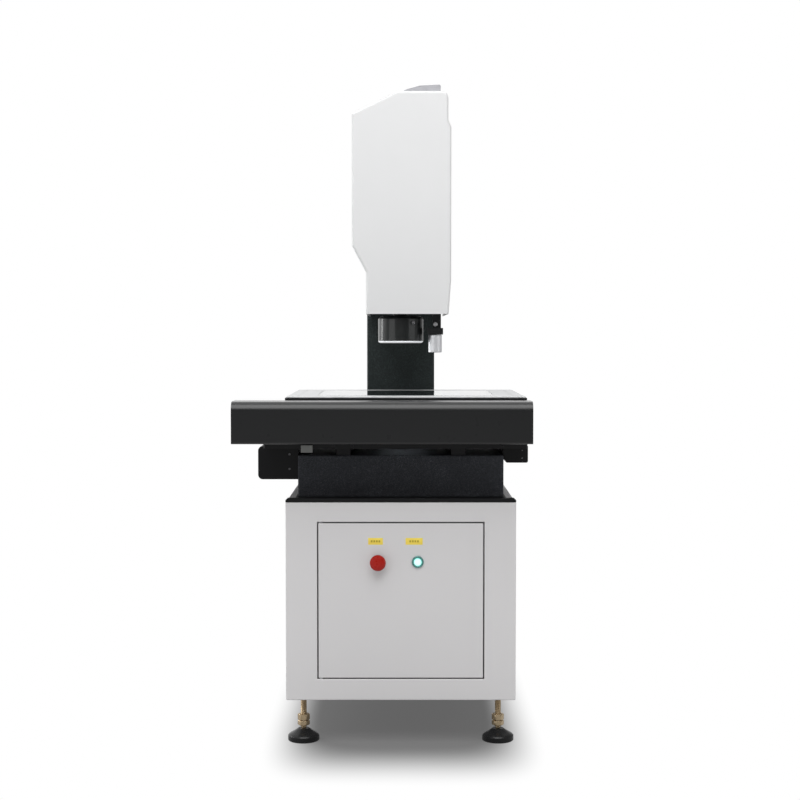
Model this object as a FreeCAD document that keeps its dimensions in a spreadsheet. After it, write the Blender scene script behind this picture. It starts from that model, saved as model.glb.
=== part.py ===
"""Vision measuring machine: a granite stage and head on a sheet-steel cabinet, in millimetres.

X runs to the right, Y to the back, Z up. The origin is on the floor, midway between the four feet.
"""

import FreeCAD
import Part
import Sketcher
import os
import re

SIZES = {
    # Cabinet
    "cabinet_width": 580.0,
    "cabinet_depth": 920.0,
    "cabinet_clearance": 112.0,
    "cabinet_height": 502.0,
    "sheet": 2.0,
    "bend_radius": 2.5,
    "flange_width": 40.0,
    "top_plate": 4.0,
    "top_plate_margin": 5.0,
    "front_bar_depth": 20.0,
    "front_bar_height": 10.0,
    "post_width": 70.0,
    "post_wall": 4.0,
    "frame_rail": 50.0,
    "back_panel_margin": 60.0,
    "louvre_length": 150.0,
    "louvre_height": 6.0,
    "louvre_pitch": 16.0,
    "louvre_count": 6.0,
    # Door
    "door_opening_side": 79.5,
    "door_opening_drop": 50.0,
    "door_opening_rise": 54.0,
    "door_gap": 3.0,
    "door_depth": 20.0,
    "door_edge_radius": 1.5,
    "lip_depth": 26.0,
    "pivot_inset": 6.0,
    "pivot_radius": 3.0,
    "pivot_reach": 9.0,
    "running_gap": 0.05,
    "moving_gap": 0.3,
    # Switches on the door
    "switch_drop": 100.5,
    "estop_offset": 57.5,
    "power_offset": 42.5,
    "estop_radius": 20.0,
    "estop_cap_height": 17.0,
    "estop_stem_radius": 6.0,
    "estop_travel": 4.5,
    "switch_barrel_radius": 12.5,
    "estop_collar_radius": 15.0,
    "estop_collar_height": 5.0,
    "bezel_radius": 15.0,
    "bezel_height": 3.5,
    "power_cap_radius": 10.6,
    "power_cap_proud": 1.5,
    "power_travel": 2.5,
    "contact_block": 32.0,
    "contact_depth": 42.0,
    # Levelling feet
    "foot_inset": 42.0,
    "pad_radius": 40.0,
    "pad_rim": 17.0,
    "pad_height": 31.0,
    "ball_radius": 7.0,
    "stud_radius": 8.0,
    "stud_reach": 64.0,
    "nut_across_flats": 27.0,
    "lower_nut_height": 12.0,
    "upper_nut_height": 16.0,
    "nut_lift": 39.0,
    # Controller in the cabinet
    "control_width": 300.0,
    "control_depth": 240.0,
    "control_height": 110.0,
    # Granite
    "granite_width": 530.0,
    "granite_height": 107.0,
    "granite_front_inset": 100.0,
    "granite_rear_inset": 8.0,
    "granite_chamfer": 3.0,
    "column_width": 201.0,
    "column_depth": 170.0,
    "column_height": 795.0,
    # Linear guides and screws
    "rail_width": 15.0,
    "rail_height": 15.0,
    "rail_waist": 2.0,
    "rail_hole_radius": 3.75,
    "rail_hole_depth": 8.0,
    "rail_hole_pitch": 60.0,
    "guide_height": 24.0,
    "carriage_width": 47.0,
    "carriage_length": 60.0,
    "carriage_lift": 4.3,
    "screw_radius": 8.0,
    "nut_radius": 14.0,
    "nut_length": 42.0,
    "flange_radius": 23.0,
    "flange_height": 8.0,
    "bearing_width": 52.0,
    "bearing_length": 22.0,
    "bearing_rise": 21.0,
    "coupling_radius": 13.0,
    "coupling_length": 26.0,
    "motor_width": 56.0,
    "motor_shelf": 8.0,
    "motor_margin": 3.0,
    "motor_length": 74.0,
    # Travels, and where the stage stands in the photograph
    "travel_x": 400.0,
    "travel_y": 300.0,
    "rest_right": 13.0,
    "rest_forward": 100.0,
    "axis_setback": 229.0,
    # Y stage
    "y_rail_spread": 148.0,
    "y_carriage_front": 31.0,
    "y_carriage_back": 190.0,
    "stop_length": 10.0,
    "stop_height": 19.0,
    "y_drive_width": 104.0,
    "y_drive_height": 86.0,
    "y_drive_radius": 12.0,
    "y_drive_floor": 13.0,
    "y_drive_length": 640.0,
    "y_nut_back": 80.0,
    "slot_width": 30.0,
    "scale_width": 64.0,
    "scale_height": 43.0,
    "scale_chamfer": 9.0,
    "housing_gap": 2.0,
    "housing_setback": 15.0,
    "wall": 2.5,
    # Saddle and its front beam
    "saddle_left": 345.0,
    "saddle_right": 318.0,
    "saddle_depth": 460.0,
    "saddle_height": 36.0,
    "window_width": 120.0,
    "window_depth": 380.0,
    "x_rail_spread": 205.0,
    "x_rail_length": 630.0,
    "x_carriage_spread": 72.0,
    "ledge_rise": 21.0,
    "ledge_height": 15.0,
    "beam_motor_gap": 9.5,
    "beam_bearing_gap": 22.0,
    "beam_depth": 96.0,
    "beam_height": 104.0,
    "beam_radius": 24.0,
    "beam_lower_radius": 5.0,
    "beam_cap": 3.0,
    "beam_lip": 16.0,
    "beam_gap": 4.0,
    "x_screw_span": 287.0,
    # Table
    "table_width": 600.0,
    "table_depth": 464.0,
    "table_base_margin": 3.0,
    "table_base_height": 67.5,
    "table_plate": 4.0,
    "table_chamfer": 1.5,
    "glass_width": 450.0,
    "glass_depth": 340.0,
    "glass_thickness": 10.0,
    "glass_ledge": 10.0,
    "glass_gap": 0.5,
    "fixture_spacing_x": 540.0,
    "fixture_spacing_y": 400.0,
    "fixture_radius": 2.5,
    "fixture_depth": 14.0,
    "backlight_radius": 34.0,
    "backlight_rise": 74.0,
    # Head
    "head_rise": 365.0,
    "cover_height": 589.0,
    "cover_reach": 90.0,
    "cover_back_gap": 6.0,
    "cover_left": 130.0,
    "cover_right": 134.0,
    "cover_step": 37.5,
    "cover_step_rise": 111.0,
    "cover_step_height": 71.0,
    "cover_shoulder_drop": 59.0,
    "cover_shoulder_x": 7.0,
    "cover_tuck": 6.8,
    "cover_tuck_rise": 90.0,
    "cover_brow": 8.0,
    "cover_brow_drop": 95.0,
    "cover_brow_height": 18.0,
    "cover_round": 19.0,
    "cover_edge": 7.0,
    "cover_gap": 3.0,
    "cap_left": 5.0,
    "cap_right": 106.0,
    "cap_height": 18.0,
    "cap_depth": 150.0,
    "arm_width": 140.0,
    "arm_lift": 90.0,
    "arm_height": 250.0,
    "arm_wall": 14.0,
    "arm_foot_height": 330.0,
    "arm_foot": 20.0,
    "arm_margin": 2.0,
    "lug_length": 40.0,
    "lug_height": 38.0,
    "lug_setback": 30.0,
    "z_face_back": 121.0,
    "z_plate_depth": 50.0,
    "z_plate_width": 146.0,
    "z_plate_drop": 139.0,
    "z_channel_width": 54.0,
    "z_channel_depth": 44.0,
    "z_screw_setback": 18.0,
    "z_rail_spread": 48.0,
    "z_rail_length": 364.0,
    "slide_plate": 16.0,
    "slide_left": 72.0,
    "slide_right": 110.0,
    "slide_lift": 6.0,
    "slide_height": 244.0,
    "z_nut_lift": 166.0,
    "lens_radius": 24.0,
    "camera_width": 44.0,
    "camera_length": 70.0,
    "lens_length": 172.0,
    "lens_drop": 72.0,
    "ring_radius": 61.0,
    "ring_drop": 83.5,
    "ring_height": 74.0,
    "ring_wall": 8.0,
    "ring_bore_radius": 27.0,
    # Side sensor
    "sensor_offset": 93.0,
    "sensor_setback": 19.0,
    "sensor_radius": 18.2,
    "sensor_drop": 25.5,
    "sensor_length": 48.0,
    "sensor_stem_radius": 5.0,
    "sensor_stem_length": 74.0,
    "clamp_width": 42.0,
    "clamp_height": 18.0,
    "bracket_width": 22.0,
    "knob_lift": 10.0,
    "knob_radius": 6.0,
    "knob_length": 14.0,
}

# Places that follow from the driving sizes
PLACES = {
    "cabinet_front": "-cabinet_depth / 2",
    "cabinet_back": "cabinet_depth / 2",
    "cabinet_top_z": "cabinet_clearance + cabinet_height",
    "half_width": "cabinet_width / 2",
    "foot_x": "half_width - foot_inset",
    "foot_y": "cabinet_back - foot_inset",
    "frame_floor": "cabinet_clearance + sheet",
    "frame_top": "cabinet_top_z - sheet",
    "post_inner_x": "half_width - sheet - post_width",
    "post_inner_y": "cabinet_back - sheet - post_width",
    "opening_left": "door_opening_side - half_width",
    "opening_right": "half_width - door_opening_side",
    "opening_floor": "cabinet_clearance + door_opening_rise",
    "opening_top": "cabinet_top_z - door_opening_drop",
    "door_left": "opening_left + door_gap",
    "door_right": "opening_right - door_gap",
    "door_floor": "opening_floor + door_gap",
    "door_top": "opening_top - door_gap",
    "pivot_x": "door_left + pivot_inset",
    "pivot_y": "cabinet_front + pivot_inset",
    "switch_z": "opening_top - switch_drop",
    "granite_floor": "cabinet_top_z + top_plate",
    "granite_top": "granite_floor + granite_height",
    "granite_front": "cabinet_front + granite_front_inset",
    "granite_back": "cabinet_back - granite_rear_inset",
    "granite_side": "granite_width / 2",
    "column_front": "granite_back - column_depth",
    "column_top": "granite_top + column_height",
    "axis_y": "granite_front + axis_setback",
    "stage_y": "axis_y - rest_forward",
    "saddle_floor": "granite_top + guide_height",
    "saddle_top": "saddle_floor + saddle_height",
    "saddle_front": "stage_y - saddle_depth / 2",
    "saddle_back": "stage_y + saddle_depth / 2",
    "table_floor": "saddle_top + guide_height",
    "table_base_top": "table_floor + table_base_height",
    "table_top_z": "table_base_top + table_plate",
    "glass_floor": "table_top_z - glass_thickness",
    "table_x": "rest_right",
    "y_front_carriage": "stage_y - y_carriage_front",
    "y_back_carriage": "stage_y + y_carriage_back",
    "y_rail_front": "axis_y - travel_y / 2 - y_carriage_front - carriage_length / 2 - 3",
    "y_rail_back": "axis_y + travel_y / 2 + y_carriage_back + carriage_length / 2 + 3",
    "drive_inner": "-granite_side",
    "drive_outer": "-granite_side - y_drive_width",
    "drive_top": "saddle_floor - housing_gap",
    "drive_floor": "drive_top - y_drive_height",
    "drive_x": "-granite_side - y_drive_width / 2",
    "drive_front": "granite_front + housing_setback",
    "drive_back": "drive_front + y_drive_length",
    "drive_axis_z": "drive_floor + y_drive_floor + motor_width / 2 + moving_gap",
    "y_nut_y": "stage_y + y_nut_back",
    "y_bearing_front": "axis_y + y_nut_back - travel_y / 2 - nut_length / 2 - 12",
    "y_bearing_back": "axis_y + y_nut_back + travel_y / 2 + nut_length / 2 + 12",
    "y_motor_front": "y_bearing_back + bearing_length + coupling_length + 4",
    "scale_inner": "granite_side",
    "scale_outer": "granite_side + scale_width",
    "scale_floor": "drive_top - scale_height",
    "scale_x": "granite_side + scale_width / 2",
    "beam_back": "stage_y - table_depth / 2 - table_base_margin / 2 - beam_gap",
    "beam_front": "beam_back - beam_depth",
    "ledge_floor": "saddle_floor + ledge_rise",
    "ledge_top": "ledge_floor + ledge_height",
    "beam_floor": "ledge_floor - wall",
    "beam_top": "beam_floor + beam_height",
    "x_axis_y": "(beam_front + beam_back) / 2",
    "x_axis_z": "ledge_top + motor_width / 2 + moving_gap",
    "x_motor_right": "-x_screw_span - bearing_length / 2 - coupling_length - 4",
    "beam_left": "motor_length - x_motor_right + beam_motor_gap + beam_cap",
    "beam_right": "x_screw_span + bearing_length / 2 + beam_bearing_gap + beam_cap",
    "cover_floor": "granite_top + head_rise",
    "cover_top": "cover_floor + cover_height",
    "cover_step_z": "cover_floor + cover_step_rise",
    "cover_shoulder_z": "cover_top - cover_shoulder_drop",
    "cover_tuck_z": "cover_floor + cover_tuck_rise",
    "cover_brow_z": "cover_top - cover_brow_drop",
    "arm_rise": "cover_floor + arm_lift",
    "arm_foot_side": "cover_left - cover_step - wall - cover_gap",
    "lug_front": "column_front - arm_foot - lug_setback - lug_length",
    "z_plate_top": "cover_top - z_plate_drop",
    "slide_floor": "cover_floor + slide_lift",
    "z_nut_height": "slide_floor + z_nut_lift",
    "lens_floor": "slide_floor - lens_drop",
    "ring_floor": "slide_floor - ring_drop",
    "sensor_floor": "ring_floor - sensor_drop",
    "z_face": "axis_y + z_face_back",
    "z_axis_y": "z_face + z_screw_setback",
    "z_bearing_floor": "z_rail_floor + 20",
    "z_bearing_top": "z_motor_floor - coupling_length - 4",
    "z_motor_floor": "z_plate_top + motor_shelf",
    "slide_back": "z_face - guide_height",
    "slide_front": "slide_back - slide_plate",
    "slide_top": "slide_floor + slide_height",
    "cover_front_y": "axis_y - cover_reach",
    "cover_back_y": "column_front - cover_back_gap",
    "cover_low_left": "cover_step - cover_left",
    "z_rail_floor": "cover_floor + slide_lift",
    "ring_top": "ring_floor + ring_height",
    "lens_top": "lens_floor + lens_length",
    "sensor_y": "axis_y - sensor_setback",
    "sensor_top": "sensor_floor + sensor_length",
    "clamp_top": "sensor_top + clamp_height",
}

doc = FreeCAD.newDocument("vision_measuring_machine")
sheet_of_sizes = doc.addObject("Spreadsheet::Sheet", "Sizes")
for row, (alias, size) in enumerate(SIZES.items(), start=1):
    sheet_of_sizes.set(f"A{row}", alias)
    sheet_of_sizes.set(f"B{row}", str(size))
    sheet_of_sizes.setAlias(f"B{row}", alias)
doc.recompute()

X_AXIS = FreeCAD.Rotation(FreeCAD.Vector(0, 0, 1), FreeCAD.Vector(1, 0, 0))
Y_AXIS = FreeCAD.Rotation(FreeCAD.Vector(0, 0, 1), FreeCAD.Vector(0, 1, 0))
FRONT_AXIS = FreeCAD.Rotation(FreeCAD.Vector(0, 0, 1), FreeCAD.Vector(0, -1, 0))
Z_AXIS = FreeCAD.Rotation()

nodes = {}


def formula(text):
    """The expression over the sheet's cells that a formula of sizes and places stands for."""

    def cell_or_place(match):
        word = match.group(0)
        if word in SIZES:
            return f"Sizes.{word}"
        if word in PLACES:
            return f"({formula(PLACES[word])})"
        return word

    return re.sub(r"[a-z_][a-z_0-9]*", cell_or_place, str(text))


def number(text):
    """What a formula comes to now."""
    return float(sheet_of_sizes.evalExpression(formula(text)))


def bind(thing, prop, text):
    thing.setExpression(prop, formula(text))


def place(thing, x, y, z, rotation=Z_AXIS):
    """Stand a thing at a place worked out from the sizes."""
    thing.Placement = FreeCAD.Placement(FreeCAD.Vector(number(x), number(y), number(z)), rotation)
    for letter, text in zip("xyz", (x, y, z)):
        bind(thing, f"Placement.Base.{letter}", text)
    return thing


def keep(node, thing):
    """Name a finished sub-part."""
    thing.Label = node
    nodes[node] = thing
    return thing


def block(name, low, high):
    """A box between two corners."""
    part = doc.addObject("Part::Box", name)
    for prop, start, end in zip(("Length", "Width", "Height"), low, high):
        bind(part, prop, f"({end}) - ({start})")
    return place(part, *low)


def rod(name, radius, length, x, y, z, rotation=Z_AXIS):
    part = doc.addObject("Part::Cylinder", name)
    bind(part, "Radius", radius)
    bind(part, "Height", length)
    return place(part, x, y, z, rotation)


def cut(name, base, *tools):
    part = doc.addObject("Part::Cut", name)
    part.Base = base
    part.Tool = tools[0] if len(tools) == 1 else fuse(f"{name}_tools", *tools)
    return part


def fuse(name, *parts):
    part = doc.addObject("Part::MultiFuse", name)
    part.Shapes = list(parts)
    return part


def group(name, *parts):
    part = doc.addObject("Part::Compound", name)
    part.Links = list(parts)
    return part


def new_body(name):
    return doc.addObject("PartDesign::Body", name)


def origin_plane(body, role):
    return next(feature for feature in body.Origin.OriginFeatures if feature.Role == role)


def draw(body, role, outlines=(), circles=()):
    """A sketch of closed outlines and circles, each point held by the sizes."""
    sketch = body.newObject("Sketcher::SketchObject", f"{body.Name}_sketch")
    sketch.AttachmentSupport = [(origin_plane(body, role), "")]
    sketch.MapMode = "FlatFace"

    def hold(kind, *where):
        index = sketch.addConstraint(Sketcher.Constraint(kind, *where[:-1], number(where[-1])))
        sketch.setExpression(f"Constraints[{index}]", formula(where[-1]))

    for corners in outlines:
        points = [FreeCAD.Vector(number(x), number(y), 0) for x, y in corners]
        first = sketch.GeometryCount
        for point, following in zip(points, points[1:] + points[:1]):
            sketch.addGeometry(Part.LineSegment(point, following))
        for index, (x, y) in enumerate(corners):
            line = first + index
            before = first + (index - 1) % len(corners)
            sketch.addConstraint(Sketcher.Constraint("Coincident", before, 2, line, 1))
            hold("DistanceX", -1, 1, line, 1, x)
            hold("DistanceY", -1, 1, line, 1, y)
    for x, y, radius in circles:
        centre = FreeCAD.Vector(number(x), number(y), 0)
        circle = sketch.addGeometry(Part.Circle(centre, FreeCAD.Vector(0, 0, 1), number(radius)))
        hold("Radius", circle, radius)
        hold("DistanceX", -1, 1, circle, 3, x)
        hold("DistanceY", -1, 1, circle, 3, y)
    return sketch


def pad(body, role, length, outlines=(), circles=()):
    """Draw and pad towards the plane's positive axis."""
    feature = body.newObject("PartDesign::Pad", f"{body.Name}_pad")
    feature.Profile = draw(body, role, outlines, circles)
    bind(feature, "Length", length)
    feature.Reversed = role == "XZ_Plane"
    return feature


def pocket(body, role, length, outlines=(), circles=()):
    """Draw and cut towards the plane's positive axis."""
    feature = body.newObject("PartDesign::Pocket", f"{body.Name}_pocket")
    feature.Profile = draw(body, role, outlines, circles)
    bind(feature, "Length", length)
    feature.Reversed = role != "XZ_Plane"
    return feature


def turn(name, corners, x="0", y="0", z="0", rotation=Z_AXIS):
    """A turned piece: its half outline, radius and height, goes once round its axis."""
    body = new_body(name)
    sketch = draw(body, "XZ_Plane", [corners])
    feature = body.newObject("PartDesign::Revolution", f"{name}_turned")
    feature.Profile = sketch
    feature.ReferenceAxis = (sketch, ["V_Axis"])
    feature.Angle = 360
    return place(body, x, y, z, rotation)


def edges(body, wanted):
    """Names of the edges of a body's tip that a test picks by centre and direction."""
    doc.recompute()
    found = []
    for index, edge in enumerate(body.Tip.Shape.Edges, start=1):
        if edge.Curve.TypeId != "Part::GeomLine":
            continue
        along = edge.tangentAt(edge.FirstParameter)
        if wanted(edge.CenterOfMass, along):
            found.append(f"Edge{index}")
    return found


def dress(body, kind, prop, size, wanted):
    """Round or bevel the picked edges of a body's tip."""
    names = edges(body, wanted)
    undressed = body.Tip
    feature = body.newObject(f"PartDesign::{kind}", f"{body.Name}_{kind.lower()}")
    feature.Base = (undressed, names)
    bind(feature, prop, size)
    doc.recompute()
    return feature


def round_edges(body, radius, wanted):
    return dress(body, "Fillet", "Radius", radius, wanted)


def bevel_edges(body, size, wanted):
    return dress(body, "Chamfer", "Size", size, wanted)


def rectangle(x0, x1, y0, y1):
    return [(x0, y0), (x1, y0), (x1, y1), (x0, y1)]


def near(value, text):
    return abs(value - number(text)) < 0.05


# Cabinet: folded shell, welded frame, top plate and back panel


def make_cabinet():
    outside = new_body("shell_outside")
    pad(
        outside,
        "XY_Plane",
        "cabinet_height",
        [rectangle("-half_width", "half_width", "cabinet_front", "cabinet_back")],
    )
    place(outside, "0", "0", "cabinet_clearance")
    round_edges(outside, "bend_radius", lambda at, along: True)
    inside = block(
        "shell_inside",
        ("sheet - half_width", "cabinet_front + sheet", "cabinet_clearance + sheet"),
        ("half_width - sheet", "cabinet_back - sheet", "cabinet_top_z - sheet"),
    )
    top_opening = block(
        "shell_top_opening",
        ("flange_width - half_width", "cabinet_front + flange_width", "cabinet_top_z - 2 * sheet"),
        ("half_width - flange_width", "cabinet_back - flange_width", "cabinet_top_z + sheet"),
    )
    walls = cut("shell_walls", outside, inside, top_opening)
    lip_outside = block(
        "lip_outside",
        ("opening_left - sheet", "cabinet_front", "opening_floor - sheet"),
        ("opening_right + sheet", "cabinet_front + lip_depth", "opening_top + sheet"),
    )
    opening = new_body("door_opening")
    pad(
        opening,
        "XZ_Plane",
        "2 * lip_depth",
        [rectangle("opening_left", "opening_right", "opening_floor", "opening_top")],
    )
    spread = "2 * bend_radius"
    in_front = pad(
        opening,
        "XZ_Plane",
        "sheet",
        [
            rectangle(
                f"opening_left - {spread}",
                f"opening_right + {spread}",
                f"opening_floor - {spread}",
                f"opening_top + {spread}",
            )
        ],
    )
    in_front.Reversed = False
    place(opening, "0", "cabinet_front", "0")

    def on_front_outline(at, along):
        aside = near(abs(at.x), "opening_right")
        above_or_below = near(at.z, "opening_floor") or near(at.z, "opening_top")
        return near(at.y, "0") and (aside or above_or_below)

    round_edges(opening, "bend_radius", on_front_outline)
    back_opening = block(
        "back_opening",
        (
            "back_panel_margin - half_width",
            "cabinet_back - 2 * sheet",
            "cabinet_clearance + back_panel_margin",
        ),
        (
            "half_width - back_panel_margin",
            "cabinet_back + sheet",
            "cabinet_top_z - back_panel_margin",
        ),
    )
    with_lip = fuse("shell_with_lip", walls, lip_outside)
    holes = [opening, back_opening]
    for side_name, side_x in (("left", "-foot_x"), ("right", "foot_x")):
        for end_name, end_y in (("front", "-foot_y"), ("back", "foot_y")):
            holes.append(
                rod(
                    f"stud_way_{end_name}_{side_name}",
                    "stud_radius + 1",
                    "4 * sheet",
                    side_x,
                    end_y,
                    "cabinet_clearance - sheet",
                )
            )
    for end_name, z in (("lower", "opening_floor"), ("upper", "opening_top")):
        holes.append(
            rod(
                f"pivot_way_{end_name}",
                "pivot_radius",
                "4 * sheet",
                "pivot_x",
                "pivot_y",
                f"{z} - 2 * sheet",
            )
        )
    keep("cabinet_shell", cut("cabinet_shell", with_lip, *holes))

    top = new_body("cabinet_top")
    pad(
        top,
        "XY_Plane",
        "front_bar_height",
        [rectangle("-half_width", "half_width", "cabinet_front", "cabinet_front + front_bar_depth")],
    )
    bevel_edges(
        top,
        "front_bar_height / 2",
        lambda at, along: abs(along.y) > 0.9 and near(abs(at.x), "half_width") and at.z > 1,
    )
    bevel_edges(top, "top_plate / 4", lambda at, along: near(at.z, "front_bar_height"))
    side = "granite_side + top_plate_margin"
    pad(
        top,
        "XY_Plane",
        "top_plate",
        [rectangle(f"-({side})", side, "cabinet_front + front_bar_depth / 2", "cabinet_back - sheet")],
    )
    place(top, "0", "0", "cabinet_top_z")
    keep("cabinet_top", top)

    back = new_body("cabinet_back")
    margin = "(back_panel_margin - 20)"
    pad(
        back,
        "XZ_Plane",
        "sheet",
        [
            rectangle(
                f"{margin} - half_width",
                f"half_width - {margin}",
                f"cabinet_clearance + {margin}",
                f"cabinet_top_z - {margin}",
            )
        ],
    )
    rows = int(number("louvre_count"))
    slots = []
    for side in (-1, 1):
        for index in range(rows):
            low = f"opening_top - 60 - {index} * louvre_pitch"
            middle = f"{side} * louvre_length * 0.75"
            slots.append(
                rectangle(
                    f"{middle} - louvre_length / 2",
                    f"{middle} + louvre_length / 2",
                    f"{low} - louvre_height",
                    low,
                )
            )
    pocket(back, "XZ_Plane", "sheet", slots)
    pocket(back, "XZ_Plane", "sheet", [rectangle("150", "198", "opening_floor + 20", "opening_floor + 47")])
    place(back, "0", "cabinet_back", "0")
    keep("cabinet_back", back)


def tube(name, low, high, along):
    """A square tube between two corners, open along one axis."""
    outside = block(f"{name}_outside", low, high)
    hole_low = [f"{start} + post_wall" for start in low]
    hole_high = [f"{end} - post_wall" for end in high]
    hole_low[along] = low[along]
    hole_high[along] = high[along]
    return outside, block(f"{name}_hollow", hole_low, hole_high)


def make_frame():
    solids = []
    hollows = []
    corners = [("-half_width + sheet", "-post_inner_x"), ("post_inner_x", "half_width - sheet")]
    ends = [("cabinet_front + sheet", "-post_inner_y"), ("post_inner_y", "cabinet_back - sheet")]
    for x_index, (x0, x1) in enumerate(corners):
        for y_index, (y0, y1) in enumerate(ends):
            low = (x0, y0, "frame_floor + post_wall * 2")
            high = (x1, y1, "frame_top")
            solid, hollow = tube(f"post_{x_index}{y_index}", low, high, 2)
            solids.append(solid)
            hollows.append(hollow)
    for level, z0, z1 in (
        ("lower", "frame_floor", "frame_floor + frame_rail"),
        ("upper", "frame_top - frame_rail", "frame_top"),
    ):
        for index, (x0, x1) in enumerate(corners):
            side = tube(f"{level}_side_{index}", (x0, "-post_inner_y", z0), (x1, "post_inner_y", z1), 1)
            solids.append(side[0])
            hollows.append(side[1])
        for index, (y0, y1) in enumerate(ends):
            depth = [y0, y1]
            if index == 0:
                depth[0] = "cabinet_front + lip_depth + 2"
            across = tube(
                f"{level}_across_{index}", ("-post_inner_x", depth[0], z0), ("post_inner_x", depth[1], z1), 0
            )
            solids.append(across[0])
            hollows.append(across[1])
    tubes = cut("frame_tubes", fuse("frame_solids", *solids), *hollows)
    plates = []
    ways = []
    for x_index, x in enumerate(("-foot_x", "foot_x")):
        for y_index, y in enumerate(("-foot_y", "foot_y")):
            x0, x1 = corners[x_index]
            y0, y1 = ends[y_index]
            plates.append(
                block(
                    f"foot_plate_{x_index}{y_index}",
                    (x0, y0, "frame_floor"),
                    (x1, y1, "frame_floor + post_wall * 3"),
                )
            )
            ways.append(
                rod(
                    f"foot_thread_{x_index}{y_index}",
                    "stud_radius + running_gap",
                    "post_wall * 6",
                    x,
                    y,
                    "frame_floor - post_wall",
                )
            )
    keep("cabinet_frame", cut("cabinet_frame", fuse("frame_with_plates", tubes, *plates), *ways))


def make_control_unit():
    unit = new_body("control_unit")
    half = "control_width / 2"
    pad(unit, "XY_Plane", "control_height", [rectangle(f"-{half}", half, "-control_depth", "0")])
    round_edges(unit, "4", lambda at, along: abs(along.z) > 0.9)
    fins = []
    for index in range(12):
        start = f"-{half} + 20 + {index} * (control_width - 40) / 12"
        fins.append(rectangle(start, f"{start} + 8", "control_height - 14", "control_height"))
    pocket(unit, "XZ_Plane", "control_depth", fins)
    unit.Tip.Midplane = True
    bind(unit.Tip, "Length", "control_depth * 3")
    place(unit, "0", "post_inner_y - 6", "cabinet_clearance + sheet")
    keep("control_unit", unit)


# Door: a folded tray on two pivot pins, with two switches


def make_door():
    door = new_body("cabinet_door")
    pad(door, "XZ_Plane", "door_depth", [rectangle("door_left", "door_right", "door_floor", "door_top")])
    place(door, "0", "cabinet_front", "0")
    round_edges(door, "door_edge_radius", lambda at, along: near(at.y, "0"))
    hollow = pocket(
        door,
        "XZ_Plane",
        "door_depth - sheet",
        [rectangle("door_left + sheet", "door_right - sheet", "door_floor + sheet", "door_top - sheet")],
    )
    bind(hollow.Profile[0], "AttachmentOffset.Base.z", "-door_depth")
    hollow.Reversed = not hollow.Reversed
    pocket(
        door,
        "XZ_Plane",
        "door_depth",
        circles=[
            ("-estop_offset", "switch_z", "switch_barrel_radius + moving_gap"),
            ("power_offset", "switch_z", "switch_barrel_radius + moving_gap"),
        ],
    )
    pocket(
        door, "XY_Plane", "cabinet_top_z", circles=[("pivot_x", "pivot_inset", "pivot_radius + running_gap")]
    )
    keep("cabinet_door", door)

    pins = []
    for name, z in (("lower", "opening_floor - pivot_reach"), ("upper", "door_top - pivot_reach")):
        collar_z = {"lower": "opening_floor", "upper": "opening_top"}[name]
        pin = rod(
            f"pin_{name}",
            "pivot_radius",
            "2 * pivot_reach + door_gap",
            "pivot_x",
            "pivot_y",
            z,
        )
        collar_floor = collar_z if name == "lower" else f"{collar_z} - door_gap + moving_gap"
        collar = rod(
            f"collar_{name}",
            "pivot_radius + 1.8",
            "door_gap - moving_gap",
            "pivot_x",
            "pivot_y",
            collar_floor,
        )
        pins.append(fuse(f"hinge_pin_{name}", pin, collar))
    keep("hinge_pins", group("hinge_pins", *pins))


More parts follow.
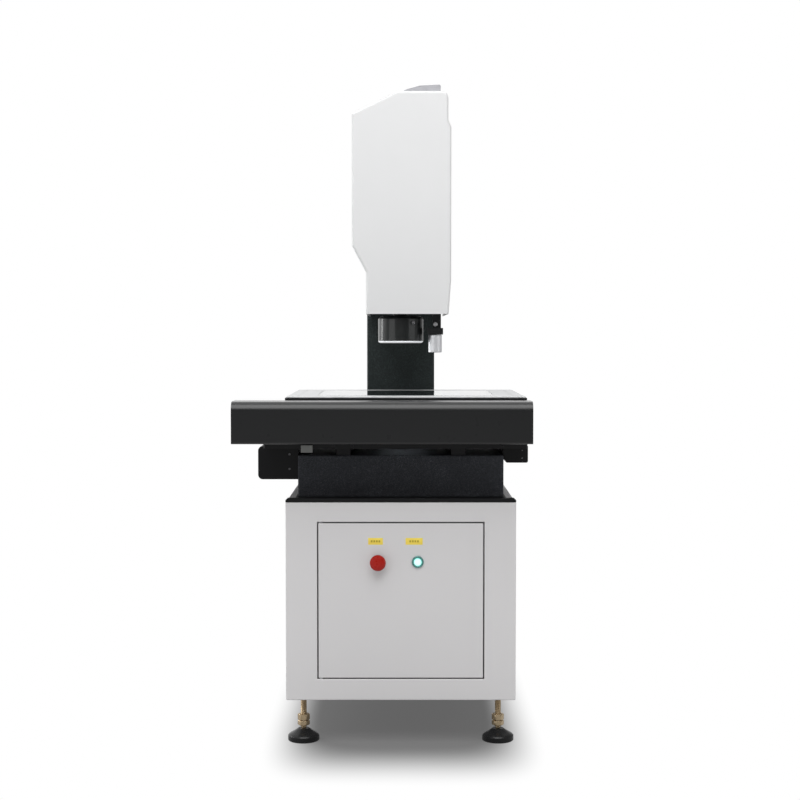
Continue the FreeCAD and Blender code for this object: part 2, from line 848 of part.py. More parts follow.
def make_switches():
    inner = "estop_stem_radius + running_gap"
    base = turn(
        "estop_barrel",
        [
            (inner, "contact_depth"),
            ("contact_block / 2", "contact_depth"),
            ("contact_block / 2", "door_depth"),
            ("switch_barrel_radius + 4", "door_depth"),
            ("switch_barrel_radius + 4", "sheet"),
            ("switch_barrel_radius", "sheet"),
            ("switch_barrel_radius", "0"),
            ("estop_collar_radius", "0"),
            ("estop_collar_radius - 1", "-estop_collar_height"),
            (inner, "-estop_collar_height"),
        ],
        "-estop_offset",
        "cabinet_front",
        "switch_z",
        Y_AXIS,
    )
    keep("estop_base", base)

    stem_front = "estop_collar_height + estop_travel + 1"
    keep(
        "estop_stem",
        turn(
            "estop_stem",
            [
                ("0", f"-({stem_front}) - 8"),
                ("3", f"-({stem_front}) - 8"),
                ("3", f"-({stem_front})"),
                ("estop_stem_radius", f"-({stem_front})"),
                ("estop_stem_radius", "contact_depth - estop_travel - 4"),
                ("0", "contact_depth - estop_travel - 4"),
            ],
            "-estop_offset",
            "cabinet_front",
            "switch_z",
            Y_AXIS,
        ),
    )
    cap_back = f"{stem_front} + moving_gap"
    cap_front = f"{cap_back} + estop_cap_height"
    keep(
        "estop_cap",
        turn(
            "estop_cap",
            [
                ("3 + running_gap", cap_back),
                ("estop_radius * 0.62", cap_back),
                ("estop_radius * 0.66", f"{cap_back} + 5"),
                ("estop_radius", f"{cap_back} + 8"),
                ("estop_radius", f"{cap_back} + 11"),
                ("estop_radius * 0.82", f"{cap_back} + 15"),
                ("estop_radius * 0.5", cap_front),
                ("0", f"{cap_front} + 0.6"),
                ("0", f"{cap_back} + 8 + moving_gap"),
                ("3 + running_gap", f"{cap_back} + 8 + moving_gap"),
            ],
            "-estop_offset",
            "cabinet_front",
            "switch_z",
            FRONT_AXIS,
        ),
    )

    bore = "power_cap_radius + moving_gap"
    keep(
        "power_button_base",
        turn(
            "power_button_base",
            [
                ("0", "contact_depth"),
                ("contact_block / 2 - 2", "contact_depth"),
                ("contact_block / 2 - 2", "door_depth"),
                ("switch_barrel_radius + 2", "door_depth"),
                ("switch_barrel_radius + 2", "sheet"),
                ("switch_barrel_radius", "sheet"),
                ("switch_barrel_radius", "0"),
                ("bezel_radius", "0"),
                ("bezel_radius", "1 - bezel_height"),
                ("bezel_radius - 1", "-bezel_height"),
                (bore, "-bezel_height"),
                (bore, "6 + power_travel + moving_gap"),
                ("0", "6 + power_travel + moving_gap"),
            ],
            "power_offset",
            "cabinet_front",
            "switch_z",
            Y_AXIS,
        ),
    )
    cap = turn(
        "power_button_cap",
        [
            ("0", "-6"),
            ("power_cap_radius", "-6"),
            ("power_cap_radius", "bezel_height + power_cap_proud - 1"),
            ("power_cap_radius - 1", "bezel_height + power_cap_proud"),
            ("0", "bezel_height + power_cap_proud + 0.4"),
        ],
        "power_offset",
        "cabinet_front",
        "switch_z",
        FRONT_AXIS,
    )
    keep("power_button_cap", cap)


# Levelling feet: swivel pad, ball-ended stud and two nuts


def hexagon(name, flats, height, x, y, z):
    part = doc.addObject("Part::Prism", name)
    part.Polygon = 6
    bind(part, "Circumradius", f"({flats}) / 2 / cos(30)")
    bind(part, "Height", height)
    return place(part, x, y, z)


def make_foot(corner, x, y):
    socket = "ball_radius + running_gap"
    pad_piece = turn(
        f"foot_pad_{corner}",
        [
            ("0", "0"),
            ("pad_radius - 2", "0"),
            ("pad_radius", "2"),
            ("pad_radius", "pad_rim - 4"),
            ("pad_radius - 4", "pad_rim"),
            ("pad_radius * 0.62", "pad_rim + (pad_height - pad_rim) * 0.45"),
            ("stud_radius + 9", "pad_height - 2"),
            ("stud_radius + 6", "pad_height"),
            ("ball_radius * 0.92 + running_gap", "pad_height"),
            (socket, "pad_height - ball_radius * 0.6"),
            (socket, "pad_height - 2 * ball_radius"),
            ("0", "pad_height - 2 * ball_radius"),
        ],
        x,
        y,
        "0",
    )
    keep(f"foot_pad_{corner}", pad_piece)
    ball_floor = "pad_height - 2 * ball_radius + moving_gap / 2"
    stud = turn(
        f"stud_{corner}",
        [
            ("0", ball_floor),
            ("ball_radius * 0.6", ball_floor),
            ("ball_radius", f"{ball_floor} + ball_radius * 0.6"),
            ("ball_radius", f"{ball_floor} + ball_radius * 1.2"),
            ("ball_radius * 0.7", "pad_height + 1"),
            ("stud_radius", "pad_height + 3"),
            ("stud_radius", "frame_floor + stud_reach - 1.5"),
            ("stud_radius - 1.5", "frame_floor + stud_reach"),
            ("0", "frame_floor + stud_reach"),
        ],
        x,
        y,
        "0",
    )
    pieces = [stud]
    lifts = {
        "lower": ("nut_lift", "lower_nut_height"),
        "upper": ("nut_lift + lower_nut_height + 1", "upper_nut_height"),
    }
    for name, (lift, height) in lifts.items():
        hexagonal = hexagon(f"nut_{name}_{corner}_hexagon", "nut_across_flats", height, x, y, lift)
        bore = rod(f"nut_{name}_{corner}_bore", "stud_radius", f"{height} + 2", x, y, f"{lift} - 1")
        pieces.append(cut(f"nut_{name}_{corner}", hexagonal, bore))
    keep(f"foot_stud_{corner}", group(f"foot_stud_{corner}", *pieces))


# Granite base and column


def make_granite():
    base = new_body("granite_base")
    outline = rectangle("-granite_side", "granite_side", "granite_front", "granite_back")
    pad(base, "XY_Plane", "granite_height", [outline])
    bevel_edges(base, "granite_chamfer", lambda at, along: near(at.z, "granite_height") or abs(along.z) > 0.9)
    place(base, "0", "0", "granite_floor")
    keep("granite_base", base)

    column = new_body("granite_column")
    side = "column_width / 2"
    pad(column, "XY_Plane", "column_height", [rectangle(f"-{side}", side, "column_front", "granite_back")])
    bevel_edges(column, "granite_chamfer", lambda at, along: abs(along.z) > 0.9 or near(at.z, "column_height"))
    place(column, "0", "0", "granite_top")
    keep("granite_column", column)


# Linear guides


def make_rail(name, length, x, y, z, rotation):
    """A profiled rail along its own X, with counterbores for its screws."""
    body = new_body(name)
    half = "rail_width / 2"
    waist = "rail_width / 2 - rail_waist"
    pad(
        body,
        "YZ_Plane",
        length,
        [
            [
                (f"-{half}", "0"),
                (half, "0"),
                (half, "rail_height * 0.35"),
                (waist, "rail_height * 0.5"),
                (waist, "rail_height * 0.65"),
                (half, "rail_height * 0.8"),
                (half, "rail_height"),
                (f"-{half}", "rail_height"),
                (f"-{half}", "rail_height * 0.8"),
                (f"-({waist})", "rail_height * 0.65"),
                (f"-({waist})", "rail_height * 0.5"),
                (f"-{half}", "rail_height * 0.35"),
            ]
        ],
    )
    count = max(1, int((number(length) - 30) // number("rail_hole_pitch")) + 1)
    bores = []
    for index in range(count):
        along = f"({length}) / 2 + ({index} - ({count} - 1) / 2) * rail_hole_pitch"
        bores.append((along, "0", "rail_hole_radius"))
    holes = pocket(body, "XY_Plane", "rail_hole_depth", circles=bores)
    bind(holes.Profile[0], "AttachmentOffset.Base.z", "rail_height - rail_hole_depth")
    return place(body, x, y, z, rotation)


def make_carriage(name, x, y, z, rotation):
    """A carriage that straddles the rail, along its own X about its middle."""
    body = new_body(name)
    half = "carriage_width / 2"
    groove = "rail_width / 2 + moving_gap"
    pad(
        body,
        "YZ_Plane",
        "carriage_length",
        [
            [
                (f"-{half}", "carriage_lift + 4"),
                (f"-{half} + 4", "carriage_lift"),
                (f"-({groove})", "carriage_lift"),
                (f"-({groove})", "rail_height + moving_gap"),
                (groove, "rail_height + moving_gap"),
                (groove, "carriage_lift"),
                (f"{half} - 4", "carriage_lift"),
                (half, "carriage_lift + 4"),
                (half, "guide_height"),
                (f"-{half}", "guide_height"),
            ]
        ],
    )
    return place(body, x, y, z, rotation)


FACING_UP_ALONG_Y = FreeCAD.Rotation(FreeCAD.Vector(0, 0, 1), 90)
FACING_UP_ALONG_X = FreeCAD.Rotation()
FACING_FRONT_ALONG_Z = FreeCAD.Rotation(
    FreeCAD.Vector(0, 0, 1), FreeCAD.Vector(1, 0, 0), FreeCAD.Vector(0, -1, 0), "ZXY"
)


def make_y_guides():
    length = "y_rail_back - y_rail_front"
    rails = []
    stops = []
    carriages = []
    for side, x in (("left", "-y_rail_spread"), ("right", "y_rail_spread")):
        rails.append(
            make_rail(f"y_rail_{side}", length, x, "y_rail_front", "granite_top", FACING_UP_ALONG_Y)
        )
        for end, y in (("front", "y_rail_front - stop_length"), ("back", "y_rail_back")):
            stops.append(
                block(
                    f"y_stop_{side}_{end}",
                    (f"{x} - 1.2 * rail_width", y, "granite_top"),
                    (f"{x} + 1.2 * rail_width", f"{y} + stop_length", "granite_top + stop_height"),
                )
            )
        for end, y in (("front", "y_front_carriage"), ("back", "y_back_carriage")):
            carriages.append(
                make_carriage(
                    f"y_carriage_{side}_{end}",
                    x,
                    f"{y} - carriage_length / 2",
                    "granite_top",
                    FACING_UP_ALONG_Y,
                )
            )
    keep("y_rails", group("y_rails", *rails))
    keep("y_rail_stops", group("y_rail_stops", *stops))
    keep("y_carriages", group("y_carriages", *carriages))


def make_x_guides():
    rails = []
    carriages = []
    for side, y in (("front", "stage_y - x_rail_spread"), ("back", "stage_y + x_rail_spread")):
        rails.append(
            make_rail(
                f"x_rail_{side}", "x_rail_length", "-x_rail_length / 2", y, "saddle_top", FACING_UP_ALONG_X
            )
        )
        for end, x in (("left", "table_x - x_carriage_spread"), ("right", "table_x + x_carriage_spread")):
            carriages.append(
                make_carriage(
                    f"x_carriage_{side}_{end}", f"{x} - carriage_length / 2", y, "saddle_top", FACING_UP_ALONG_X
                )
            )
    keep("x_rails", group("x_rails", *rails))
    keep("x_carriages", group("x_carriages", *carriages))


def make_z_guides():
    rails = []
    carriages = []
    for side, x in (("left", "-z_rail_spread"), ("right", "z_rail_spread")):
        rails.append(
            make_rail(f"z_rail_{side}", "z_rail_length", x, "z_face", "z_rail_floor", FACING_FRONT_ALONG_Z)
        )
        for end, z in (
            ("lower", "slide_top - 2.6 * carriage_length"),
            ("upper", "slide_top - carriage_length"),
        ):
            carriages.append(
                make_carriage(f"z_carriage_{side}_{end}", x, "z_face", z, FACING_FRONT_ALONG_Z)
            )
    keep("z_rails", group("z_rails", *rails))
    keep("z_carriages", group("z_carriages", *carriages))


# Ball screws, nuts, bearing blocks and motors


def make_screw(node, span, x, y, z, rotation):
    """A screw with stepped ends and the coupling on the motor's side, from its far bearing on."""
    shaft = turn(
        f"{node}_shaft",
        [
            ("0", "0"),
            ("5", "0"),
            ("6", "1"),
            ("6", "bearing_length + 1"),
            ("screw_radius", "bearing_length + 2"),
            ("screw_radius", f"({span}) + bearing_length - 2"),
            ("6", f"({span}) + bearing_length - 1"),
            ("6", f"({span}) + 2 * bearing_length + 14"),
            ("0", f"({span}) + 2 * bearing_length + 14"),
        ],
        x,
        y,
        z,
        rotation,
    )
    coupling_start = f"({span}) + 2 * bearing_length + 2"
    coupling = turn(
        f"{node}_coupling",
        [
            ("6", coupling_start),
            ("coupling_radius - 1", coupling_start),
            ("coupling_radius", f"{coupling_start} + 1"),
            ("coupling_radius", f"{coupling_start} + coupling_length - 1"),
            ("coupling_radius - 1", f"{coupling_start} + coupling_length"),
            ("4", f"{coupling_start} + coupling_length"),
            ("4", f"{coupling_start} + 13"),
            ("6", f"{coupling_start} + 13"),
        ],
        x,
        y,
        z,
        rotation,
    )
    keep(node, group(node, shaft, coupling))


def make_bearing(name, x, y, z, rotation, foot):
    """A bearing block along its own Z, standing on a foot face below its own X axis."""
    body = new_body(name)
    half = "bearing_width / 2"
    pad(
        body,
        "XY_Plane",
        "bearing_length",
        [
            [
                (f"-({foot})", f"-{half}"),
                (f"-({foot})", half),
                (f"-({foot}) + 12", half),
                ("bearing_rise", f"{half} - 10"),
                ("bearing_rise", f"-{half} + 10"),
                (f"-({foot}) + 12", f"-{half}"),
            ]
        ],
        [("0", "0", "6 + running_gap")],
    )
    return place(body, x, y, z, rotation)


def make_motor(node, x, y, z, rotation):
    """A square stepper motor along its own Z, with its pilot and shaft at the start."""
    body = new_body(f"{node}_case")
    half = "motor_width / 2"
    pad(body, "XY_Plane", "motor_length", [rectangle(f"-{half}", half, f"-{half}", half)])
    bevel_edges(body, "5", lambda at, along: abs(along.z) > 0.9)
    place(body, x, y, z, rotation)
    shaft = turn(
        f"{node}_shaft",
        [("0", "-16"), ("4 - running_gap", "-16"), ("4 - running_gap", "0"), ("0", "0")],
        x,
        y,
        z,
        rotation,
    )
    keep(node, fuse(node, body, shaft))


BACK_UP = FreeCAD.Rotation(FreeCAD.Vector(0, 0, 1), FreeCAD.Vector(-1, 0, 0), FreeCAD.Vector(0, 1, 0), "ZXY")
LEFT_UP = FreeCAD.Rotation(FreeCAD.Vector(0, 0, 1), FreeCAD.Vector(0, -1, 0), FreeCAD.Vector(-1, 0, 0), "ZXY")
UP_FRONT = FreeCAD.Rotation(FreeCAD.Vector(0, -1, 0), FreeCAD.Vector(-1, 0, 0), FreeCAD.Vector(0, 0, 1), "ZXY")


def make_drives():
    y_span = "y_bearing_back - y_bearing_front"
    make_screw("y_screw", y_span, "drive_x", "y_bearing_front - bearing_length", "drive_axis_z", BACK_UP)
    y_foot = "drive_axis_z - drive_floor - y_drive_floor"
    bearings = []
    for name, y in (("front", "y_bearing_front - bearing_length"), ("back", "y_bearing_back")):
        bearings.append(make_bearing(f"y_bearing_{name}", "drive_x", y, "drive_axis_z", BACK_UP, y_foot))
    make_motor("y_motor", "drive_x", "y_motor_front", "drive_axis_z", BACK_UP)

    z_span = "z_bearing_top - z_bearing_floor - 2 * bearing_length"
    make_screw("z_screw", z_span, "0", "z_axis_y", "z_bearing_floor", UP_FRONT)
    z_foot = "z_channel_depth - z_screw_setback"
    for name, z in (("lower", "z_bearing_floor"), ("upper", "z_bearing_top - bearing_length")):
        bearings.append(make_bearing(f"z_bearing_{name}", "0", "z_axis_y", z, UP_FRONT, z_foot))
    keep("screw_bearings", group("screw_bearings", *bearings))
    make_motor("z_motor", "0", "z_axis_y", "z_motor_floor", UP_FRONT)

    x_span = "2 * x_screw_span - bearing_length"
    make_screw("x_screw", x_span, "x_screw_span + bearing_length / 2", "x_axis_y", "x_axis_z", LEFT_UP)
    x_foot = "x_axis_z - ledge_top"
    x_bearings = []
    for name, x in (
        ("right", "x_screw_span + bearing_length / 2"),
        ("left", "bearing_length / 2 - x_screw_span"),
    ):
        x_bearings.append(make_bearing(f"x_bearing_{name}", x, "x_axis_y", "x_axis_z", LEFT_UP, x_foot))
    keep("x_screw_bearings", group("x_screw_bearings", *x_bearings))
    make_motor("x_motor", "x_motor_right", "x_axis_y", "x_axis_z", LEFT_UP)


def make_nut(name, x, y, z, rotation):
    """A flanged ball nut, along its own Z about its middle."""
    bore = "screw_radius + running_gap"
    return turn(
        name,
        [
            (bore, "-nut_length / 2"),
            ("flange_radius - 1", "-nut_length / 2"),
            ("flange_radius", "1 - nut_length / 2"),
            ("flange_radius", "flange_height - nut_length / 2"),
            ("nut_radius", "flange_height - nut_length / 2"),
            ("nut_radius", "nut_length / 2 - 1"),
            ("nut_radius - 1", "nut_length / 2"),
            (bore, "nut_length / 2"),
        ],
        x,
        y,
        z,
        rotation,
    )


def make_nuts():
    housing = "nut_radius + 7"
    hole = "nut_radius"

    y_nut = make_nut("y_ball_nut", "drive_x", "y_nut_y", "drive_axis_z", BACK_UP)
    y_low = "y_nut_y + flange_height - nut_length / 2"
    y_high = "y_nut_y + nut_length / 2 - 2"
    y_blocks = fuse(
        "y_nut_blocks",
        block(
            "y_nut_housing",
            (f"drive_x - ({housing})", y_low, f"drive_axis_z - ({housing})"),
            (f"drive_x + {housing}", y_high, f"drive_axis_z + {housing}"),
        ),
        block(
            "y_drive_arm",
            ("drive_x - slot_width / 2 + 3", y_low, "drive_axis_z"),
            ("drive_x + slot_width / 2 - 3", y_high, "saddle_floor"),
        ),
    )
    y_bore = rod("y_nut_bore", hole, "nut_length * 2", "drive_x", f"{y_low} - 5", "drive_axis_z", BACK_UP)
    keep("y_nut", group("y_nut", y_nut, cut("y_nut_bracket", y_blocks, y_bore)))

    x_nut = make_nut("x_ball_nut", "table_x", "x_axis_y", "x_axis_z", LEFT_UP)
    x_low = "table_x - nut_length / 2 + 2"
    x_high = "table_x + nut_length / 2 - flange_height"
    x_blocks = fuse(
        "x_nut_blocks",
        block(
            "x_nut_housing",
            (x_low, f"x_axis_y - ({housing})", f"x_axis_z - ({housing})"),
            (x_high, f"x_axis_y + {housing}", f"x_axis_z + {housing}"),
        ),
        block(
            "x_drive_arm",
            (x_low, "x_axis_y", "x_axis_z"),
            (x_high, "stage_y - table_depth / 2 - table_base_margin / 2", f"x_axis_z + {housing}"),
        ),
    )
    x_bore = rod("x_nut_bore", hole, "nut_length * 2", f"{x_high} + 5", "x_axis_y", "x_axis_z", LEFT_UP)
    keep("x_nut", group("x_nut", x_nut, cut("x_nut_bracket", x_blocks, x_bore)))

    z_nut = make_nut("z_ball_nut", "0", "z_axis_y", "z_nut_height", UP_FRONT)
    z_low = "z_nut_height - nut_length / 2 + flange_height"
    z_high = "z_nut_height + nut_length / 2 - 2"
    z_blocks = fuse(
        "z_nut_blocks",
        block(
            "z_nut_housing",
            (f"-({housing})", "z_face + 1", z_low),
            (housing, "z_axis_y + nut_radius + 4", z_high),
        ),
        block("z_drive_arm", ("-nut_radius", "slide_back", z_low), ("nut_radius", "z_axis_y", z_high)),
    )
    z_bore = rod("z_nut_bore", hole, "nut_length * 2", "0", "z_axis_y", f"{z_low} - 5", UP_FRONT)
    keep("z_nut", group("z_nut", z_nut, cut("z_nut_bracket", z_blocks, z_bore)))


# Housings at the sides of the granite


def make_side_housings():
    drive = new_body("y_drive_housing")
    pad(
        drive,
        "XZ_Plane",
        "y_drive_length",
        [rectangle("drive_outer", "drive_inner", "drive_floor", "drive_top")],
    )
    round_edges(drive, "y_drive_radius", lambda at, along: abs(along.y) > 0.9 and near(at.x, "drive_outer"))
    cavity = pocket(
        drive,
        "XZ_Plane",
        "y_drive_length - 2 * wall",
        [
            rectangle(
                "drive_outer + wall", "drive_inner - wall", "drive_floor + y_drive_floor", "drive_top - wall"
            )
        ],
    )
    bind(cavity.Profile[0], "AttachmentOffset.Base.z", "-wall")
    slot = pocket(
        drive,
        "XY_Plane",
        "y_drive_height",
        [
            rectangle(
                "drive_x - slot_width / 2",
                "drive_x + slot_width / 2",
                "axis_y + y_nut_back - travel_y / 2 - nut_length / 2 - 6 - drive_front",
                "axis_y + y_nut_back + travel_y / 2 + nut_length / 2 + 6 - drive_front",
            )
        ],
    )
    bind(slot.Profile[0], "AttachmentOffset.Base.z", "drive_floor + y_drive_floor + 1")
    place(drive, "0", "drive_front", "0")
    keep("y_drive_housing", drive)

    scale = new_body("y_scale_housing")
    pad(
        scale,
        "XZ_Plane",
        "y_drive_length",
        [
            [
                ("scale_inner", "scale_floor + scale_chamfer"),
                ("scale_inner + scale_chamfer", "scale_floor"),
                ("scale_outer", "scale_floor"),
                ("scale_outer", "drive_top"),
                ("scale_inner", "drive_top"),
            ]
        ],
    )
    round_edges(
        scale,
        "scale_chamfer / 2",
        lambda at, along: abs(along.y) > 0.9 and near(at.x, "scale_outer") and near(at.z, "scale_floor"),
    )
    cavity = pocket(
        scale,
        "XZ_Plane",
        "y_drive_length - 2 * wall",
        [
            rectangle(
                "scale_inner + wall",
                "scale_outer - wall",
                "scale_floor + scale_chamfer + wall",
                "drive_top - wall",
            )
        ],
    )
    bind(cavity.Profile[0], "AttachmentOffset.Base.z", "-wall")
    slot = pocket(
        scale,
        "XY_Plane",
        "scale_height",
        [
            rectangle(
                "scale_x - slot_width / 5",
                "scale_x + slot_width / 5",
                "4 * wall",
                "y_drive_length - 4 * wall",
            )
        ],
    )
    bind(slot.Profile[0], "AttachmentOffset.Base.z", "scale_floor + scale_chamfer + wall + 1")
    place(scale, "0", "drive_front", "0")
    keep("y_scale_housing", scale)

    head = fuse(
        "scale_head",
        block(
            "scale_head_body",
            ("scale_x - slot_width / 2 + 1", "stage_y + 10", "scale_floor + scale_chamfer + 2 * wall"),
            ("scale_x + slot_width / 2 - 1", "stage_y + 70", "drive_top - 2 * wall"),
        ),
        block(
            "scale_head_stem",
            ("scale_x - slot_width / 5 + 1.5", "stage_y + 20", "drive_top - 3 * wall"),
            ("scale_x + slot_width / 5 - 1.5", "stage_y + 60", "saddle_floor"),
        ),
    )
    sensor = block(
        "limit_sensor",
        ("-granite_side + 15", "saddle_front - 9", "saddle_floor - 9"),
        ("-granite_side + 44", "saddle_front", "saddle_floor + 9"),
    )
    keep("saddle_sensors", group("saddle_sensors", head, sensor))


# Saddle, its front beam and the table


def make_saddle():
    saddle = new_body("saddle_plate")
    pad(
        saddle,
        "XY_Plane",
        "saddle_height",
        [
            rectangle("-saddle_left", "saddle_right", "-saddle_depth / 2", "saddle_depth / 2"),
            rectangle("-window_width / 2", "window_width / 2", "-window_depth / 2", "window_depth / 2"),
        ],
    )
    corner = "window_width / 10"
    round_edges(saddle, corner, lambda at, along: abs(along.z) > 0.9 and near(abs(at.x), "window_width / 2"))
    bevel_edges(saddle, "3", lambda at, along: abs(along.z) > 0.9 and abs(at.x) > number("window_width"))
    ledge = pad(
        saddle,
        "XY_Plane",
        "ledge_height",
        [
            rectangle(
                "beam_cap - beam_left",
                "beam_right - beam_cap",
                "beam_front + wall - stage_y",
                "1 - saddle_depth / 2",
            )
        ],
    )
    bind(ledge.Profile[0], "AttachmentOffset.Base.z", "ledge_rise")
    round_edges(
        saddle,
        "beam_lower_radius - wall",
        lambda at, along: abs(along.x) > 0.9
        and near(at.y, "beam_front + wall - stage_y")
        and near(at.z, "ledge_rise"),
    )
    place(saddle, "0", "stage_y", "saddle_floor")
    keep("saddle_plate", saddle)


def beam_outline(inset):
    """The beam's section, in Y and Z from its lower back corner."""
    return rectangle(
        f"{inset} - beam_depth", "0" if inset == "0" else f"-{inset}", inset, f"beam_height - {inset}"
    )


def round_beam(body, less="0"):
    """Round a beam section's front edges, the upper more than the lower."""
    front = f"{less} - beam_depth"
    for radius, level in (
        (f"beam_radius - {less}", f"beam_height - {less}"),
        (f"beam_lower_radius - {less}", less),
    ):
        round_edges(
            body,
            radius,
            lambda at, along, level=level: abs(along.x) > 0.9 and near(at.y, front) and near(at.z, level),
        )


def make_beam():
    length = "beam_left + beam_right - 2 * beam_cap"
    skin = new_body("beam_skin")
    pad(skin, "YZ_Plane", length, [beam_outline("0")])
    round_beam(skin)
    place(skin, "beam_cap - beam_left", "beam_back", "beam_floor")
    hollow = new_body("beam_hollow")
    pad(hollow, "YZ_Plane", length, [beam_outline("wall")])
    round_beam(hollow, "wall")
    place(hollow, "beam_cap - beam_left", "beam_back", "beam_floor")
    ledge_way = block(
        "beam_ledge_way",
        ("-beam_left", "beam_back - wall * 2", "ledge_floor"),
        ("beam_right", "beam_back + wall", "ledge_top + moving_gap"),
    )
    arm_way = block(
        "beam_arm_way",
        ("-x_screw_span - bearing_length", "beam_back - wall * 2", "ledge_floor"),
        ("beam_right", "beam_back + wall", "beam_top - beam_lip"),
    )
    keep("beam_cover", cut("beam_cover", skin, hollow, ledge_way, arm_way))

    caps = []
    for side, x in (("left", "-beam_left"), ("right", "beam_right - beam_cap")):
        cap = new_body(f"beam_cap_{side}")
        pad(cap, "YZ_Plane", "beam_cap", [beam_outline("0")])
        round_beam(cap)
        caps.append(place(cap, x, "beam_back", "beam_floor"))
    keep("beam_end_caps", group("beam_end_caps", *caps))


def make_table():
    base = new_body("table_base")
    half_x = "(table_width / 2 + table_base_margin)"
    half_y = "(table_depth / 2 + table_base_margin / 2)"
    window_x = "(glass_width / 2 - glass_ledge)"
    window_y = "(glass_depth / 2 - glass_ledge)"
    pad(
        base,
        "XY_Plane",
        "table_base_height",
        [
            rectangle(f"-{half_x}", half_x, f"-{half_y}", half_y),
            rectangle(f"-{window_x}", window_x, f"-{window_y}", window_y),
        ],
    )
    seat_x = "(glass_width / 2 + glass_gap)"
    seat_y = "(glass_depth / 2 + glass_gap)"
    seat = pocket(
        base,
        "XY_Plane",
        "glass_thickness",
        [rectangle(f"-{seat_x}", seat_x, f"-{seat_y}", seat_y)],
    )
    bind(seat.Profile[0], "AttachmentOffset.Base.z", "glass_floor - table_floor")
    bores = []
    for x in ("-fixture_spacing_x / 2", "fixture_spacing_x / 2"):
        for y in ("-fixture_spacing_y / 2", "fixture_spacing_y / 2"):
            bores.append((x, y, "fixture_radius"))
    holes = pocket(base, "XY_Plane", "fixture_depth", circles=bores)
    bind(holes.Profile[0], "AttachmentOffset.Base.z", "table_base_height - fixture_depth + table_plate")
    place(base, "table_x", "stage_y", "table_floor")
    keep("table_base", base)

    plate = new_body("table_top")
    edge_x = "table_width / 2"
    edge_y = "table_depth / 2"
    pad(
        plate,
        "XY_Plane",
        "table_plate",
        [
            rectangle(f"-{edge_x}", edge_x, f"-{edge_y}", edge_y),
            rectangle(f"-{seat_x}", seat_x, f"-{seat_y}", seat_y),
        ],
        bores,
    )
    bevel_edges(
        plate,
        "table_chamfer",
        lambda at, along: near(at.z, "table_plate") and (near(abs(at.x), edge_x) or near(abs(at.y), edge_y)),
    )
    place(plate, "table_x", "stage_y", "table_base_top")
    keep("table_top", plate)

    glass = new_body("table_glass")
    pane_x = "glass_width / 2"
    pane_y = "glass_depth / 2"
    pad(glass, "XY_Plane", "glass_thickness", [rectangle(f"-{pane_x}", pane_x, f"-{pane_y}", pane_y)])
    bevel_edges(glass, "0.6", lambda at, along: near(at.z, "glass_thickness"))
    place(glass, "table_x", "stage_y", "glass_floor")
    keep("table_glass", glass)


def make_backlight():
    keep(
        "backlight",
        turn(
            "backlight",
            [
                ("0", "0"),
                ("backlight_radius", "0"),
                ("backlight_radius", "8"),
                ("backlight_radius - 6", "10"),
                ("backlight_radius - 6", "backlight_rise - 20"),
                ("backlight_radius", "backlight_rise - 16"),
                ("backlight_radius", "backlight_rise"),
                ("backlight_radius - 3", "backlight_rise"),
                ("backlight_radius - 3", "backlight_rise - 2"),
                ("0", "backlight_rise - 2"),
            ],
            "0",
            "axis_y",
            "granite_top",
        ),
    )


# Head: arm, cover and cap


def make_arm():
    foot = block(
        "arm_foot",
        ("-arm_foot_side", "column_front - arm_foot", "arm_rise - (arm_foot_height - arm_height) / 2"),
        (
            "arm_foot_side",
            "column_front",
            "arm_rise + arm_height + (arm_foot_height - arm_height) / 2",
        ),
    )
    web_and_flanges = cut(
        "arm_section",
        block(
            "arm_body",
            ("-arm_width / 2", "z_face + z_plate_depth - 1", "arm_rise"),
            ("arm_width / 2", "column_front - arm_foot + 1", "arm_rise + arm_height"),
        ),
        *[
            block(
                f"arm_pocket_{side}_{index}",
                (x0, f"z_face + z_plate_depth + ({index}) * {pitch} + arm_wall / 2", "arm_rise + arm_wall"),
                (
                    x1,
                    f"z_face + z_plate_depth + ({index} + 1) * {pitch} - arm_wall / 2",
                    "arm_rise + arm_height - arm_wall",
                ),
            )
            for side, x0, x1 in (
                ("left", "-arm_width", "-arm_wall / 2"),
                ("right", "arm_wall / 2", "arm_width"),
            )
            for index in range(3)
            for pitch in ["(column_front - arm_foot - z_face - z_plate_depth) / 3"]
        ],
    )
    plate = block(
        "z_plate",
        ("-z_plate_width / 2", "z_face", "z_rail_floor - arm_margin"),
        ("z_plate_width / 2", "z_face + z_plate_depth", "z_plate_top"),
    )
    channel = block(
        "z_channel",
        ("-z_channel_width / 2", "z_face - 1", "z_rail_floor - 2 * arm_margin"),
        ("z_channel_width / 2", "z_face + z_channel_depth", "z_plate_top + 1"),
    )
    shelf = cut(
        "motor_shelf",
        block(
            "motor_shelf_plate",
            ("-motor_width / 2 - motor_margin", "z_axis_y - motor_width / 2 - motor_margin", "z_plate_top"),
            ("motor_width / 2 + motor_margin", "z_face + z_plate_depth", "z_motor_floor"),
        ),
        rod(
            "motor_shelf_way",
            "coupling_radius + motor_margin",
            "3 * motor_shelf",
            "0",
            "z_axis_y",
            "z_plate_top - motor_shelf",
        ),
    )
    lugs = [
        block(
            "cover_lug_left",
            ("-arm_foot_side - cover_gap + moving_gap", "lug_front", "arm_rise - lug_height / 2"),
            ("arm_wall - arm_width / 2", "lug_front + lug_length", "arm_rise + lug_height / 2"),
        ),
        block(
            "cover_lug_right",
            ("arm_width / 2 - arm_wall", "lug_front", "arm_rise + lug_height"),
            ("cover_right - wall - moving_gap", "lug_front + lug_length", "arm_rise + 2 * lug_height"),
        ),
    ]
    casting = cut("arm_casting", fuse("arm_solids", foot, web_and_flanges, plate, *lugs), channel)
    keep("head_arm", fuse("head_arm", casting, shelf))


